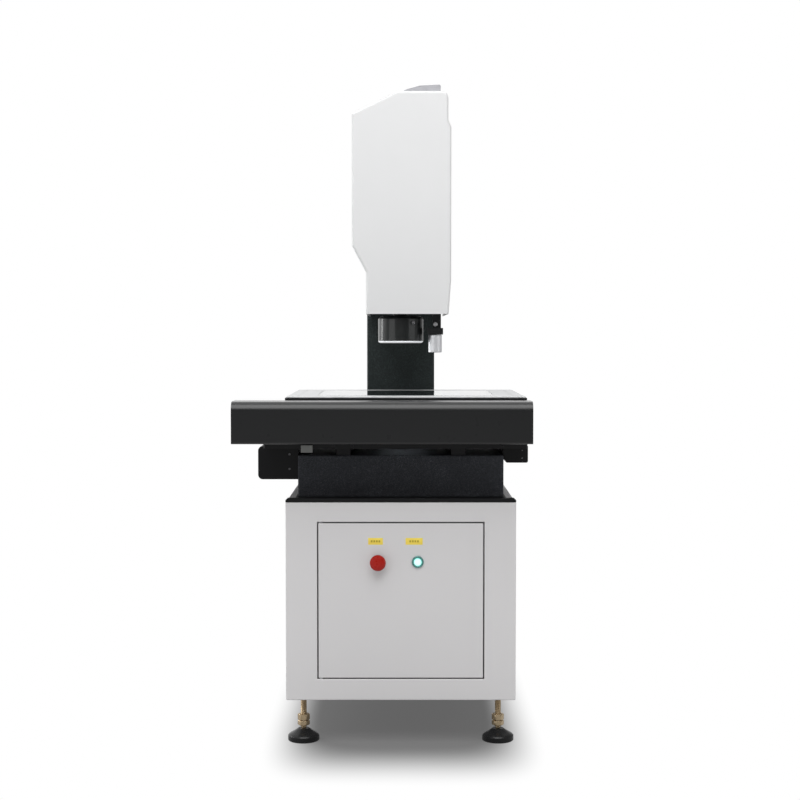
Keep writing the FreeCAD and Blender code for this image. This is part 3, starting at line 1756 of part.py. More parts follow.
def cover_outline(inset):
    """The head cover's front view. The inner one lies an even wall inside the outer one."""
    slope = "(cover_top - cover_shoulder_z) / (cover_left - cover_shoulder_x)"
    lean = f"sqrt(1 + ({slope}) * ({slope}))"
    left = f"{inset} - cover_left"
    right = f"cover_right - {inset}"
    top = f"cover_top - {inset}"
    shoulder_z = f"cover_shoulder_z - {inset} * ({lean} - ({slope}))"
    shoulder_x = f"-cover_shoulder_x + {inset} * ({lean} - 1) / ({slope})"
    low_left = f"cover_low_left + {inset}"
    reach = "sqrt(cover_step_height * cover_step_height + cover_step * cover_step)"
    step_z = f"cover_step_z + {inset} * ({reach} - cover_step_height) / cover_step"
    return [
        (low_left, "cover_floor"),
        (f"{right} - cover_tuck", "cover_floor"),
        (right, "cover_tuck_z"),
        (right, f"cover_brow_z - {inset} / 4"),
        (f"{right} - cover_brow", f"cover_brow_z + cover_brow_height - {inset} / 4"),
        (f"{right} - cover_brow", top),
        (shoulder_x, top),
        (left, shoulder_z),
        (left, f"{step_z} + cover_step_height"),
        (low_left, step_z),
    ]


def make_cover():
    skin = new_body("cover_skin")
    depth = "cover_back_y - cover_front_y"
    pad(skin, "XZ_Plane", depth, [cover_outline("0")])
    round_edges(
        skin,
        "cover_round",
        lambda at, along: abs(along.y) > 0.9 and at.x > 0 and near(at.z, "cover_top"),
    )
    round_edges(
        skin,
        "cover_edge",
        lambda at, along: abs(along.y) > 0.9 and at.x < 0 and at.z > number("cover_floor") + 1,
    )
    round_edges(
        skin, "cover_edge", lambda at, along: near(at.y, "0") and at.z > number("cover_floor") + 1
    )
    place(skin, "0", "cover_front_y", "0")
    hollow = new_body("cover_hollow")
    pad(hollow, "XZ_Plane", depth, [cover_outline("wall")])
    round_edges(
        hollow,
        "cover_round - wall",
        lambda at, along: abs(along.y) > 0.9 and at.x > 0 and near(at.z, "cover_top - wall"),
    )
    place(hollow, "0", "cover_front_y + wall", "0")
    floor_way = block(
        "cover_floor_way",
        ("cover_low_left + wall", "cover_front_y + wall", "cover_floor - wall"),
        ("cover_right - wall - cover_tuck", "cover_back_y + wall", "cover_floor + wall"),
    )
    keep("head_cover", cut("head_cover", skin, hollow, floor_way))

    cap = new_body("motor_cap")
    pad(
        cap,
        "XZ_Plane",
        "cap_depth",
        [
            [
                ("cap_left", "0"),
                ("cap_right", "0"),
                ("cap_right", "cap_height"),
                ("cap_left + 45", "cap_height - 3"),
                ("cap_left + 8", "cap_height / 4"),
            ]
        ],
    )
    place(cap, "0", "cover_front_y + 12", "cover_top")
    round_edges(cap, "5", lambda at, along: abs(along.y) > 0.9 and at.z > number("cap_height / 2"))
    keep("motor_cap", cap)


# Z slide with camera, lens, ring light and side sensor


def make_slide():
    plate = new_body("z_slide_plate")
    pad(
        plate,
        "XZ_Plane",
        "slide_plate",
        [rectangle("-slide_left", "slide_right", "slide_floor", "slide_top")],
    )
    bevel_edges(plate, "6", lambda at, along: abs(along.y) > 0.9)
    place(plate, "0", "slide_front", "0")
    lens_block_low = "lens_top - 70"
    holder = cut(
        "lens_holder",
        block(
            "lens_holder_block",
            ("-lens_radius - 10", "axis_y - 2", lens_block_low),
            ("lens_radius + 10", "slide_front + 1", f"{lens_block_low} + 40"),
        ),
        rod("lens_holder_bore", "lens_radius", "60", "0", "axis_y", f"{lens_block_low} - 10"),
    )
    keep("z_slide_plate", fuse("z_slide_plate_and_holder", plate, holder))

    keep(
        "zoom_lens",
        turn(
            "zoom_lens",
            [
                ("0", "0"),
                ("ring_bore_radius - 6", "0"),
                ("ring_bore_radius - 4", "2"),
                ("ring_bore_radius - 4", "20"),
                ("ring_bore_radius", "24"),
                ("ring_bore_radius", "52"),
                ("lens_radius - 3", "58"),
                ("lens_radius - 3", "lens_length - 78"),
                ("lens_radius", "lens_length - 76"),
                ("lens_radius", "lens_length - 24"),
                ("lens_radius - 8", "lens_length - 18"),
                ("lens_radius - 8", "lens_length"),
                ("0", "lens_length"),
            ],
            "0",
            "axis_y",
            "lens_floor",
        ),
    )
    camera = new_body("camera_body")
    half = "camera_width / 2"
    pad(camera, "XY_Plane", "camera_length", [rectangle(f"-{half}", half, f"-{half}", half)])
    round_edges(camera, "3", lambda at, along: abs(along.z) > 0.9)
    place(camera, "0", "axis_y", "lens_top")
    keep("camera_body", camera)

    ring = turn(
        "ring_shell",
        [
            ("ring_bore_radius + running_gap", "ring_height"),
            ("ring_radius - 10", "ring_height"),
            ("ring_radius - 2", "ring_height - 6"),
            ("ring_radius", "ring_height - 10"),
            ("ring_radius", "6"),
            ("ring_radius - 1.5", "2.5"),
            ("ring_radius - 5", "0"),
            ("ring_radius - ring_wall", "0"),
            ("ring_bore_radius + 8", "18"),
            ("ring_bore_radius + running_gap", "18"),
        ],
        "0",
        "axis_y",
        "ring_floor",
    )
    strut = cut(
        "ring_strut",
        block(
            "ring_strut_block",
            ("-18", "axis_y + ring_radius - 14", "ring_top - 30"),
            ("18", "slide_front", "slide_floor + 24"),
        ),
        rod("ring_strut_way", "ring_radius - 12", "200", "0", "axis_y", "ring_floor"),
    )
    upright = block(
        "ring_upright",
        ("-18", "slide_front - 8", "ring_top - 30"),
        ("18", "slide_front", "slide_floor + 24"),
    )
    trimmed = cut(
        "ring_foot",
        strut,
        block(
            "ring_foot_trim",
            ("-19", "axis_y + ring_radius - 20", "ring_top - 12"),
            ("19", "slide_front - 8", "slide_floor + 30"),
        ),
    )
    keep("ring_light", fuse("ring_light", ring, trimmed, upright))

    bracket_left = "sensor_offset + 4.5 - bracket_width / 2"
    bracket_right = "sensor_offset + 4.5 + bracket_width / 2"
    arm = block(
        "sensor_arm",
        (bracket_left, "sensor_y - bracket_width / 2", "clamp_top"),
        (bracket_right, "sensor_y + bracket_width / 2", "slide_floor + 44"),
    )
    reach = block(
        "sensor_reach",
        (bracket_left, "sensor_y", "slide_floor + 8"),
        ("slide_right", "slide_front", "slide_floor + 44"),
    )
    clamp = block(
        "sensor_clamp",
        ("sensor_offset - clamp_width / 2", "sensor_y - clamp_width / 2", "sensor_top + moving_gap"),
        ("sensor_offset + clamp_width / 2", "sensor_y + clamp_width / 2", "clamp_top"),
    )
    stem_way = rod(
        "sensor_stem_way",
        "sensor_stem_radius + running_gap",
        "sensor_stem_length + moving_gap * 4",
        "sensor_offset",
        "sensor_y",
        "sensor_top",
    )
    knob_way = rod(
        "knob_way",
        "2 + running_gap",
        "clamp_width",
        "sensor_offset",
        "sensor_y - sensor_stem_radius",
        "clamp_top + knob_lift",
        FRONT_AXIS,
    )
    keep("sensor_bracket", cut("sensor_bracket", fuse("sensor_solids", arm, reach, clamp), stem_way, knob_way))

    keep(
        "sensor_body",
        turn(
            "sensor_body",
            [
                ("0", "0"),
                ("sensor_radius - 1.5", "0"),
                ("sensor_radius", "1.5"),
                ("sensor_radius", "sensor_length - 1.5"),
                ("sensor_radius - 1.5", "sensor_length"),
                ("sensor_stem_radius", "sensor_length"),
                ("sensor_stem_radius", "sensor_length + sensor_stem_length"),
                ("0", "sensor_length + sensor_stem_length"),
            ],
            "sensor_offset",
            "sensor_y",
            "sensor_floor",
        ),
    )
    knob_start = "sensor_stem_radius + moving_gap"
    knob_face = "bracket_width / 2"
    keep(
        "clamp_knob",
        turn(
            "clamp_knob",
            [
                ("0", knob_start),
                ("2", knob_start),
                ("2", f"{knob_face} + moving_gap"),
                ("knob_radius - 1", f"{knob_face} + moving_gap"),
                ("knob_radius", f"{knob_face} + moving_gap + 1"),
                ("knob_radius", f"{knob_face} + knob_length - 1"),
                ("knob_radius - 1", f"{knob_face} + knob_length"),
                ("0", f"{knob_face} + knob_length"),
            ],
            "sensor_offset",
            "sensor_y",
            "clamp_top + knob_lift",
            FRONT_AXIS,
        ),
    )


make_cabinet()
make_frame()
make_control_unit()
make_door()
make_switches()
for corner, foot_x, foot_y in (
    ("front_left", "-foot_x", "-foot_y"),
    ("front_right", "foot_x", "-foot_y"),
    ("back_left", "-foot_x", "foot_y"),
    ("back_right", "foot_x", "foot_y"),
):
    make_foot(corner, foot_x, foot_y)
make_granite()
make_y_guides()
make_x_guides()
make_z_guides()
make_drives()
make_nuts()
make_side_housings()
make_saddle()
make_beam()
make_table()
make_backlight()
make_arm()
make_cover()
make_slide()
doc.recompute()

failed = [thing.Name for thing in doc.Objects if {"Invalid", "Error"} & set(thing.State)]
if failed:
    raise SystemExit(f"These objects failed: {failed}")
for node, thing in nodes.items():
    if thing.Shape.isNull() or not thing.Shape.isValid():
        raise SystemExit(f"{node} has no valid shape")

os.makedirs("parts", exist_ok=True)
for node, thing in nodes.items():
    thing.Shape.exportStep(f"parts/{node}.step")
    box = thing.Shape.BoundBox
    print(
        f"{node:22s} solids {len(thing.Shape.Solids)}  volume {thing.Shape.Volume / 1000:10.1f} cm3"
        f"  x {box.XMin:8.1f} {box.XMax:8.1f}  y {box.YMin:8.1f} {box.YMax:8.1f}"
        f"  z {box.ZMin:8.1f} {box.ZMax:8.1f}"
    )
print(f"{len(nodes)} sub-parts")
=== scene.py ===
"""Visual model of the vision measuring machine: finishes, fasteners, threads, lamps and labels on its CAD."""

import math

import bmesh
import bpy
from mathutils import Matrix, Vector


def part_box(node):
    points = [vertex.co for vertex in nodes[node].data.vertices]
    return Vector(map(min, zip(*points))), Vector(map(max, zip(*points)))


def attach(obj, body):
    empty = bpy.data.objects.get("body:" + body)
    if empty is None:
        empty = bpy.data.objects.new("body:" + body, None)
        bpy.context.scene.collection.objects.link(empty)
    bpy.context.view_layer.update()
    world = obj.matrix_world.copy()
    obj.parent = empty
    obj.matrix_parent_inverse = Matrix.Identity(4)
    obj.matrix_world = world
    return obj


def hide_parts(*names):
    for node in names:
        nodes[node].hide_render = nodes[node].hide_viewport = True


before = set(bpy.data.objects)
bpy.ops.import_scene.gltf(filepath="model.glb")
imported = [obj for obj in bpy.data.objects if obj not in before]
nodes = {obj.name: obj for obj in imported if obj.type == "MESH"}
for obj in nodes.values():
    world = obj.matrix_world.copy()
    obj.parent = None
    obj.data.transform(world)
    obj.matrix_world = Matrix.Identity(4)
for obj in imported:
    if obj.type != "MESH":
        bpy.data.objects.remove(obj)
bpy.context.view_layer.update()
scene = bpy.context.scene
MM = 0.001


def corners(node):
    """A node's lowest and highest corners at rest, in millimetres."""
    return [[value / MM for value in corner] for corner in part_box(node)]


def centre(node):
    low, high = corners(node)
    return [(low[i] + high[i]) / 2 for i in range(3)]


# Camera and light

camera_pitch = 2.481  # degrees down, from the photograph's perspective
camera_data = bpy.data.cameras.new("camera")
camera_data.lens = 67.5
camera_data.sensor_width = 36.0
camera_data.clip_end = 60.0
camera = bpy.data.objects.new("camera", camera_data)
camera.location = (-0.002, -4.214, 1.034)
camera.rotation_euler = (math.radians(90.0 - camera_pitch), 0.0, 0.0)
scene.collection.objects.link(camera)
scene.camera = camera
scene.view_settings.view_transform = "Standard"
scene.view_settings.look = "None"


def area_light(name, place, target, size, power):
    light = bpy.data.lights.new(name, "AREA")
    light.shape = "RECTANGLE"
    light.size, light.size_y = size
    light.energy = power
    lamp = bpy.data.objects.new(name, light)
    lamp.location = place
    lamp.rotation_euler = (Vector(target) - Vector(place)).to_track_quat("-Z", "Y").to_euler()
    scene.collection.objects.link(lamp)


area_light("key_above", (0.0, -2.5, 4.0), (0.0, -0.1, 0.7), (3.6, 3.2), 126.0)
area_light("fill_left", (-3.4, -3.4, 1.9), (0.0, 0.0, 0.9), (2.8, 2.8), 27.0)
area_light("fill_right", (3.8, -2.4, 2.0), (0.0, 0.0, 0.9), (2.8, 2.6), 22.0)
area_light("strip_left", (-3.4, 1.2, 1.3), (0.0, -0.1, 1.0), (0.42, 2.6), 27.0)

world = bpy.data.worlds.new("studio")
world.use_nodes = True
scene.world = world
tree = world.node_tree
tree.nodes.clear()
output = tree.nodes.new("ShaderNodeOutputWorld")
mix = tree.nodes.new("ShaderNodeMixShader")
path = tree.nodes.new("ShaderNodeLightPath")
seen = tree.nodes.new("ShaderNodeBackground")
seen.inputs["Color"].default_value = (1.0, 1.0, 1.0, 1.0)
seen.inputs["Strength"].default_value = 1.0
lit = tree.nodes.new("ShaderNodeBackground")
lit.inputs["Strength"].default_value = 1.0
place = tree.nodes.new("ShaderNodeTexCoord")
split = tree.nodes.new("ShaderNodeSeparateXYZ")
tree.links.new(place.outputs["Generated"], split.inputs[0])


def sky(letter, low, high, from_low, from_high):
    """A grey that runs from one value to another along a direction."""
    made = tree.nodes.new("ShaderNodeMapRange")
    made.interpolation_type = "SMOOTHSTEP"
    made.inputs["From Min"].default_value = from_low
    made.inputs["From Max"].default_value = from_high
    made.inputs["To Min"].default_value = low
    made.inputs["To Max"].default_value = high
    tree.links.new(split.outputs[letter], made.inputs["Value"])
    return made.outputs["Result"]


def times(first, second):
    """Two greys multiplied."""
    product = tree.nodes.new("ShaderNodeMath")
    product.operation = "MULTIPLY"
    tree.links.new(first, product.inputs[0])
    tree.links.new(second, product.inputs[1])
    return product.outputs[0]


lit_from_behind = sky("Y", 0.30, 1.08, -0.25, 0.45)
backdrop_in_gloss = sky("Y", 0.23, 1.08, -0.45, 0.0)
chosen = tree.nodes.new("ShaderNodeMix")
tree.links.new(path.outputs["Is Glossy Ray"], chosen.inputs[0])
tree.links.new(lit_from_behind, chosen.inputs[2])
tree.links.new(backdrop_in_gloss, chosen.inputs[3])
front_to_back = chosen.outputs[0]
down_to_up = sky("Z", 0.75, 1.0, -0.6, 0.3)
left_to_right = sky("X", 1.0, 0.32, 0.05, 0.5)
tree.links.new(times(times(front_to_back, down_to_up), left_to_right), lit.inputs["Color"])
tree.links.new(path.outputs["Is Camera Ray"], mix.inputs["Fac"])
tree.links.new(lit.outputs[0], mix.inputs[1])
tree.links.new(seen.outputs[0], mix.inputs[2])
tree.links.new(mix.outputs[0], output.inputs["Surface"])


# Materials


class Shader:
    """A principled material and the small set of procedural nodes that the finishes below are made from."""

    def __init__(self, name, colour, roughness, metallic=0.0, specular=0.5, coat=0.0, coat_roughness=0.1):
        self.material = bpy.data.materials.new(name)
        self.material.use_nodes = True
        self.tree = self.material.node_tree
        self.shader = self.tree.nodes["Principled BSDF"]
        self.colour = colour
        self.roughness = roughness
        self.set("Base Color", (*colour, 1.0))
        self.set("Roughness", roughness)
        self.set("Metallic", metallic)
        self.set("Specular IOR Level", specular)
        self.set("Coat Weight", coat)
        self.set("Coat Roughness", coat_roughness)
        self.place = self.node("ShaderNodeTexCoord").outputs["Object"]

    def set(self, socket, value):
        self.shader.inputs[socket].default_value = value
        return self

    def node(self, kind, **settings):
        made = self.tree.nodes.new(kind)
        for name, value in settings.items():
            setattr(made, name, value)
        return made

    def link(self, start, end):
        self.tree.links.new(start, end)
        return end

    def math(self, operation, first, second=0.0, third=0.0, clamp=False):
        made = self.node("ShaderNodeMath", operation=operation, use_clamp=clamp)
        for socket, value in zip(made.inputs, (first, second, third)):
            if isinstance(value, (int, float)):
                socket.default_value = value
            else:
                self.link(value, socket)
        return made.outputs[0]

    def stretched(self, scale):
        mapping = self.node("ShaderNodeMapping")
        mapping.inputs["Scale"].default_value = scale
        self.link(self.place, mapping.inputs["Vector"])
        return mapping.outputs["Vector"]

    def noise(self, scale, detail=2.0, stretch=None, roughness=0.5):
        made = self.node("ShaderNodeTexNoise")
        made.inputs["Scale"].default_value = scale
        made.inputs["Detail"].default_value = detail
        made.inputs["Roughness"].default_value = roughness
        self.link(self.stretched(stretch) if stretch else self.place, made.inputs["Vector"])
        return made.outputs["Fac"]

    def cells(self, scale, feature="F1"):
        made = self.node("ShaderNodeTexVoronoi", feature=feature)
        made.inputs["Scale"].default_value = scale
        self.link(self.place, made.inputs["Vector"])
        return made

    def ramp(self, factor, stops):
        made = self.node("ShaderNodeValToRGB")
        elements = made.color_ramp.elements
        while len(elements) < len(stops):
            elements.new(0.5)
        for element, (position, colour) in zip(elements, stops):
            element.position = position
            element.color = (*colour, 1.0)
        self.link(factor, made.inputs["Fac"])
        return made.outputs["Color"]

    def mottle(self, factor, amount):
        """The base colour, a little darker and lighter with a factor."""
        dark = tuple(c * (1.0 - amount) for c in self.colour)
        light = tuple(min(1.0, c * (1.0 + amount)) for c in self.colour)
        self.link(self.ramp(factor, [(0.3, dark), (0.7, light)]), self.shader.inputs["Base Color"])
        return self

    def patchy(self, factor, amount):
        """Roughness a little lower and higher with a factor."""
        made = self.node("ShaderNodeMapRange")
        made.inputs["From Min"].default_value = 0.3
        made.inputs["From Max"].default_value = 0.7
        made.inputs["To Min"].default_value = max(0.02, self.roughness - amount)
        made.inputs["To Max"].default_value = min(1.0, self.roughness + amount)
        self.link(factor, made.inputs["Value"])
        self.link(made.outputs["Result"], self.shader.inputs["Roughness"])
        return self

    def bump(self, factor, depth, strength=1.0):
        made = self.node("ShaderNodeBump")
        made.inputs["Strength"].default_value = strength
        made.inputs["Distance"].default_value = depth
        self.link(factor, made.inputs["Height"])
        self.link(made.outputs["Normal"], self.shader.inputs["Normal"])
        return self

    def axis(self, letter):
        split = self.node("ShaderNodeSeparateXYZ")
        self.link(self.place, split.inputs[0])
        return split.outputs[letter]

    def blend(self, factor, colour):
        """Another colour where a factor is 1."""
        made = self.node("ShaderNodeMix", data_type="RGBA")
        old = self.shader.inputs["Base Color"]
        if old.is_linked:
            self.link(old.links[0].from_socket, made.inputs[6])
        else:
            made.inputs[6].default_value = old.default_value
        made.inputs[7].default_value = (*colour, 1.0)
        self.link(factor, made.inputs[0])
        self.link(made.outputs[2], old)
        return self

    def bands(self, letter, middle, half_spread, reach):
        """1 further than reach from either of two middles along an axis."""
        aside = self.math("ABSOLUTE", self.math("SUBTRACT", self.axis(letter), middle))
        inside = self.math("ABSOLUTE", self.math("SUBTRACT", aside, half_spread))
        return self.math("GREATER_THAN", inside, reach)


def powder(name, colour, roughness=0.42, grain=520.0, depth=0.00006, shine=0.45):
    """Powder coat: fine orange peel, faint clouding."""
    made = Shader(name, colour, roughness, specular=shine, coat=shine / 3, coat_roughness=0.3)
    made.mottle(made.noise(3.5, 4.0), 0.012)
    made.patchy(made.noise(26.0, 3.0), 0.05)
    made.bump(made.noise(grain, 2.0), depth, 0.5)
    return made


def satin(name, colour, roughness):
    """Smooth satin black coat, mirror-like at a flat angle."""
    made = Shader(name, colour, roughness, specular=0.1, coat=1.0, coat_roughness=0.3)
    made.mottle(made.noise(5.0, 3.0), 0.04)
    made.patchy(made.noise(30.0, 2.0), 0.03)
    return made


def anodised(name, colour, roughness=0.42, specular=0.4, coat=0.0):
    """Anodised aluminium: fine bead-blast grain, or a smooth lacquer over it."""
    made = Shader(name, colour, roughness, metallic=0.35, specular=specular, coat=coat, coat_roughness=0.12)
    made.mottle(made.noise(60.0, 5.0), 0.08)
    made.patchy(made.noise(140.0, 3.0), 0.07)
    made.bump(made.noise(1600.0, 2.0), 0.00002, 0.4)
    return made


def machined(name, colour, roughness=0.3, stretch=(1.0, 1.0, 1.0), scale=400.0):
    """Ground or turned steel: fine lay along one direction."""
    made = Shader(name, colour, roughness, metallic=1.0)
    lay = made.noise(scale, 3.0, stretch)
    made.mottle(lay, 0.07)
    made.patchy(lay, 0.08)
    made.bump(lay, 0.00001, 0.4)
    return made


def plastic(name, colour, roughness=0.4, grain=900.0, depth=0.00003, specular=0.45):
    made = Shader(name, colour, roughness, specular=specular)
    made.mottle(made.noise(40.0, 3.0), 0.05)
    made.patchy(made.noise(90.0, 3.0), 0.05)
    made.bump(made.noise(grain, 2.0), depth, 0.4)
    return made


def granite(name, colour, roughness=0.6, specular=0.06):
    """Black granite, honed: mineral grains of a millimetre or less, some paler."""
    made = Shader(name, colour, roughness, specular=specular)
    grains = made.cells(900.0)
    grey = made.node("ShaderNodeSeparateColor")
    made.link(grains.outputs["Color"], grey.inputs[0])
    cloud = made.noise(18.0, 4.0)
    mixed = made.math("MULTIPLY_ADD", cloud, 0.25, made.math("MULTIPLY", grey.outputs[0], 0.8))
    pale = tuple(c * 3.4 for c in colour)
    dark = tuple(c * 0.55 for c in colour)
    made.link(
        made.ramp(mixed, [(0.0, dark), (0.62, colour), (0.86, tuple(c * 1.5 for c in colour)), (1.0, pale)]),
        made.shader.inputs["Base Color"],
    )
    made.patchy(grey.outputs[1], 0.06)
    made.bump(made.noise(700.0, 2.0), 0.000012, 0.3)
    return made


def thread(made, letters, place, pitch, depth):
    """Helical thread bump round an axis: letters are the two cross axes and the long one."""
    first = made.math("SUBTRACT", made.axis(letters[0]), place[0])
    second = made.math("SUBTRACT", made.axis(letters[1]), place[1])
    angle = made.math("DIVIDE", made.math("ARCTAN2", second, first), 2.0 * math.pi)
    along = made.math("DIVIDE", made.axis(letters[2]), pitch)
    phase = made.math("FRACT", made.math("ADD", along, angle))
    height = made.math("ABSOLUTE", made.math("SUBTRACT", phase, 0.5))
    made.bump(made.math("POWER", height, 0.5), depth, 1.0)
    return made


WHITE = (0.735, 0.724, 0.730)
DARK = (0.012, 0.012, 0.013)

finishes = {
    "white_paint": powder("white_paint", WHITE),
    "shell_white": powder("shell_white", WHITE),
    "door_white": powder("door_white", tuple(c * 0.985 for c in WHITE), 0.40),
    "frame_paint": powder("frame_paint", (0.66, 0.66, 0.67), 0.5),
    "cover_white": powder("cover_white", (0.78, 0.784, 0.788), 0.40, grain=420.0),
    "grey_paint": powder("grey_paint", (0.10, 0.105, 0.11), 0.45),
    "black_paint": powder(
        "black_paint", (0.0055, 0.0056, 0.0062), 0.42, grain=700.0, depth=0.00004, shine=0.22
    ),
    "beam_black": satin("beam_black", (0.0052, 0.0056, 0.0062), 0.3),
    "black_granite": granite("black_granite", (0.058, 0.061, 0.069)),
    "column_granite": granite("column_granite", (0.037, 0.046, 0.046), 0.45, 0.18),
    "cast_arm": powder("cast_arm", (0.18, 0.19, 0.20), 0.6, grain=300.0, depth=0.0002),
    "cap_grey": plastic("cap_grey", (0.44, 0.44, 0.465), 0.45),
    "black_aluminium": anodised("black_aluminium", DARK),
    "table_grey": anodised("table_grey", (0.60, 0.61, 0.615), 0.38, 0.5),
    "grey_aluminium": anodised("grey_aluminium", (0.55, 0.56, 0.58), 0.38, 0.5),
    "rail_steel": machined("rail_steel", (0.60, 0.61, 0.63), 0.22, (1.0, 1.0, 14.0)),
    "steel": machined("steel", (0.52, 0.53, 0.55), 0.3),
    "dark_steel": machined("dark_steel", (0.20, 0.20, 0.21), 0.4),
    "blackened": machined("blackened", (0.055, 0.055, 0.058), 0.5),
    "zinc_yellow": machined("zinc_yellow", (0.54, 0.42, 0.27), 0.26),
    "pad_black": plastic(
        "pad_black", (0.0095, 0.0098, 0.0104), 0.28, grain=500.0, depth=0.00004, specular=0.3
    ),
    "black_plastic": plastic("black_plastic", (0.012, 0.012, 0.0125), 0.42),
    "sensor_grey": plastic("sensor_grey", (0.24, 0.245, 0.235), 0.42),
    "lamp_housing": anodised("lamp_housing", (0.014, 0.014, 0.015)),
    "camera_black": anodised("camera_black", (0.02, 0.02, 0.022), 0.4),
    "lens_black": anodised("lens_black", DARK, 0.3),
    "ring_black": anodised("ring_black", (0.020, 0.0225, 0.0225), 0.36, 0.25, coat=0.6),
    "sensor_black": anodised("sensor_black", (0.02, 0.021, 0.022), 0.36),
    "sensor_silver": machined("sensor_silver", (0.90, 0.91, 0.935), 0.48, (1.0, 1.0, 20.0)),
    "knob_silver": machined("knob_silver", (0.72, 0.72, 0.73), 0.26),
    "thumb_steel": machined("thumb_steel", (0.30, 0.30, 0.31), 0.3),
    "estop_body": plastic("estop_body", (0.014, 0.014, 0.015), 0.4),
    "estop_dark": plastic("estop_dark", (0.02, 0.02, 0.02), 0.35),
    "estop_red": plastic("estop_red", (0.40, 0.012, 0.006), 0.3, depth=0.00001, specular=0.3),
    "bezel_teal": machined("bezel_teal", (0.16, 0.40, 0.37), 0.3),
    "label_yellow": plastic("label_yellow", (0.98, 0.76, 0.13), 0.55, depth=0.00001, specular=0.15),
    "ink": plastic("ink", (0.50, 0.38, 0.05), 0.6, specular=0.1),
    # Near-black for the inlet's recess: painted shade of a hollow that is not modelled
    "painted_recess_shade": plastic("painted_recess_shade", (0.006, 0.006, 0.006), 0.6),
    "brass": machined("brass", (0.70, 0.52, 0.22), 0.3),
}

# Carriages: ground bodies with black end caps; the Y carriages' near-black body tone is painted shade for the
# dark gap under the saddle
body_half_length = 25.5 * MM
for node, letter, middle, half_spread, body_tone_and_shade in (
    ("x_carriages", "X", 13 * MM, 72 * MM, 0.42),
    # Y carriages: the tone of 0.03 is painted shade, not the steel's own colour
    ("y_carriages", "Y", -151.5 * MM, 110.5 * MM, 0.03),
    ("z_carriages", "Z", 1262 * MM, 48 * MM, 0.42),
):
    made = machined(f"{node}_steel", (body_tone_and_shade, body_tone_and_shade * 1.02, body_tone_and_shade * 1.05), 0.3)
    ends = made.bands(letter, middle, half_spread, body_half_length)
    made.blend(ends, DARK)
    made.link(made.math("SUBTRACT", 1.0, ends), made.shader.inputs["Metallic"])
    finishes[node] = made

# Motors: black stacks between bright end bells
bell_depth = 12 * MM
for node, letter, low, high in (
    ("x_motor", "X", -402 * MM, -328 * MM),
    ("y_motor", "Y", 184 * MM, 258 * MM),
    ("z_motor", "Z", 1548 * MM, 1622 * MM),
):
    made = powder(f"{node}_black", (0.016, 0.016, 0.018), 0.4)
    bells = made.bands(letter, (low + high) / 2, 0.0, (high - low) / 2 - bell_depth)
    made.blend(bells, (0.55, 0.56, 0.57))
    made.link(bells, made.shader.inputs["Metallic"])
    finishes[node] = made

# Ball screws: rolled threads
screw_lead, thread_depth = 10 * MM, 1.1 * MM
for node, letters in (("x_screw", "YZX"), ("y_screw", "XZY"), ("z_screw", "XYZ")):
    made = machined(f"{node}_steel", (0.56, 0.57, 0.58), 0.2)
    axis = [centre(node)["XYZ".index(letter)] * MM for letter in letters[:2]]
    finishes[node] = thread(made, letters, axis, screw_lead, thread_depth)

# Glass of the stage
glass = Shader("stage_glass", (0.93, 0.975, 0.965), 0.015, specular=0.5)
glass.set("Transmission Weight", 1.0)
glass.set("IOR", 1.5)
glass.patchy(glass.noise(30.0, 3.0), 0.012)
finishes["stage_glass"] = glass

lens_glass = Shader("lens_glass", (0.03, 0.035, 0.06), 0.03, specular=0.8, coat=1.0, coat_roughness=0.02)
lens_glass.mottle(lens_glass.noise(50.0), 0.2)
finishes["lens_glass"] = lens_glass


def lamp(name, colour, strength):
    made = Shader(name, colour, 0.35, coat=0.3)
    made.mottle(made.noise(300.0, 2.0), 0.02)
    made.set("Emission Color", (*colour, 1.0))
    made.set("Emission Strength", strength)
    return made


finishes["diffuser"] = lamp("diffuser", (0.88, 0.90, 0.93), 0.35)
finishes["led_white"] = lamp("led_white", (0.95, 0.96, 1.0), 1.2)

# Lit button: a pale centre inside a teal rim
power_x, _, power_z = centre("power_button_cap")
lens_radius = 10.6 * MM
made = Shader("power_lens", (0.20, 0.45, 0.42), 0.3, coat=0.4)
across = made.math("SUBTRACT", made.axis("X"), power_x * MM)
up = made.math("SUBTRACT", made.axis("Z"), power_z * MM)
apart = made.math("SQRT", made.math("ADD", made.math("POWER", across, 2.0), made.math("POWER", up, 2.0)))
radius = made.math("DIVIDE", apart, lens_radius)
glow = made.ramp(
    radius,
    [
        (0.0, (0.78, 0.96, 0.95)),
        (0.62, (0.68, 0.95, 0.92)),
        (0.86, (0.42, 0.92, 0.84)),
        (0.94, (0.08, 0.42, 0.37)),
    ],
)
made.link(glow, made.shader.inputs["Base Color"])
made.link(glow, made.shader.inputs["Emission Color"])
made.set("Emission Strength", 0.46)
finishes["power_lens"] = made

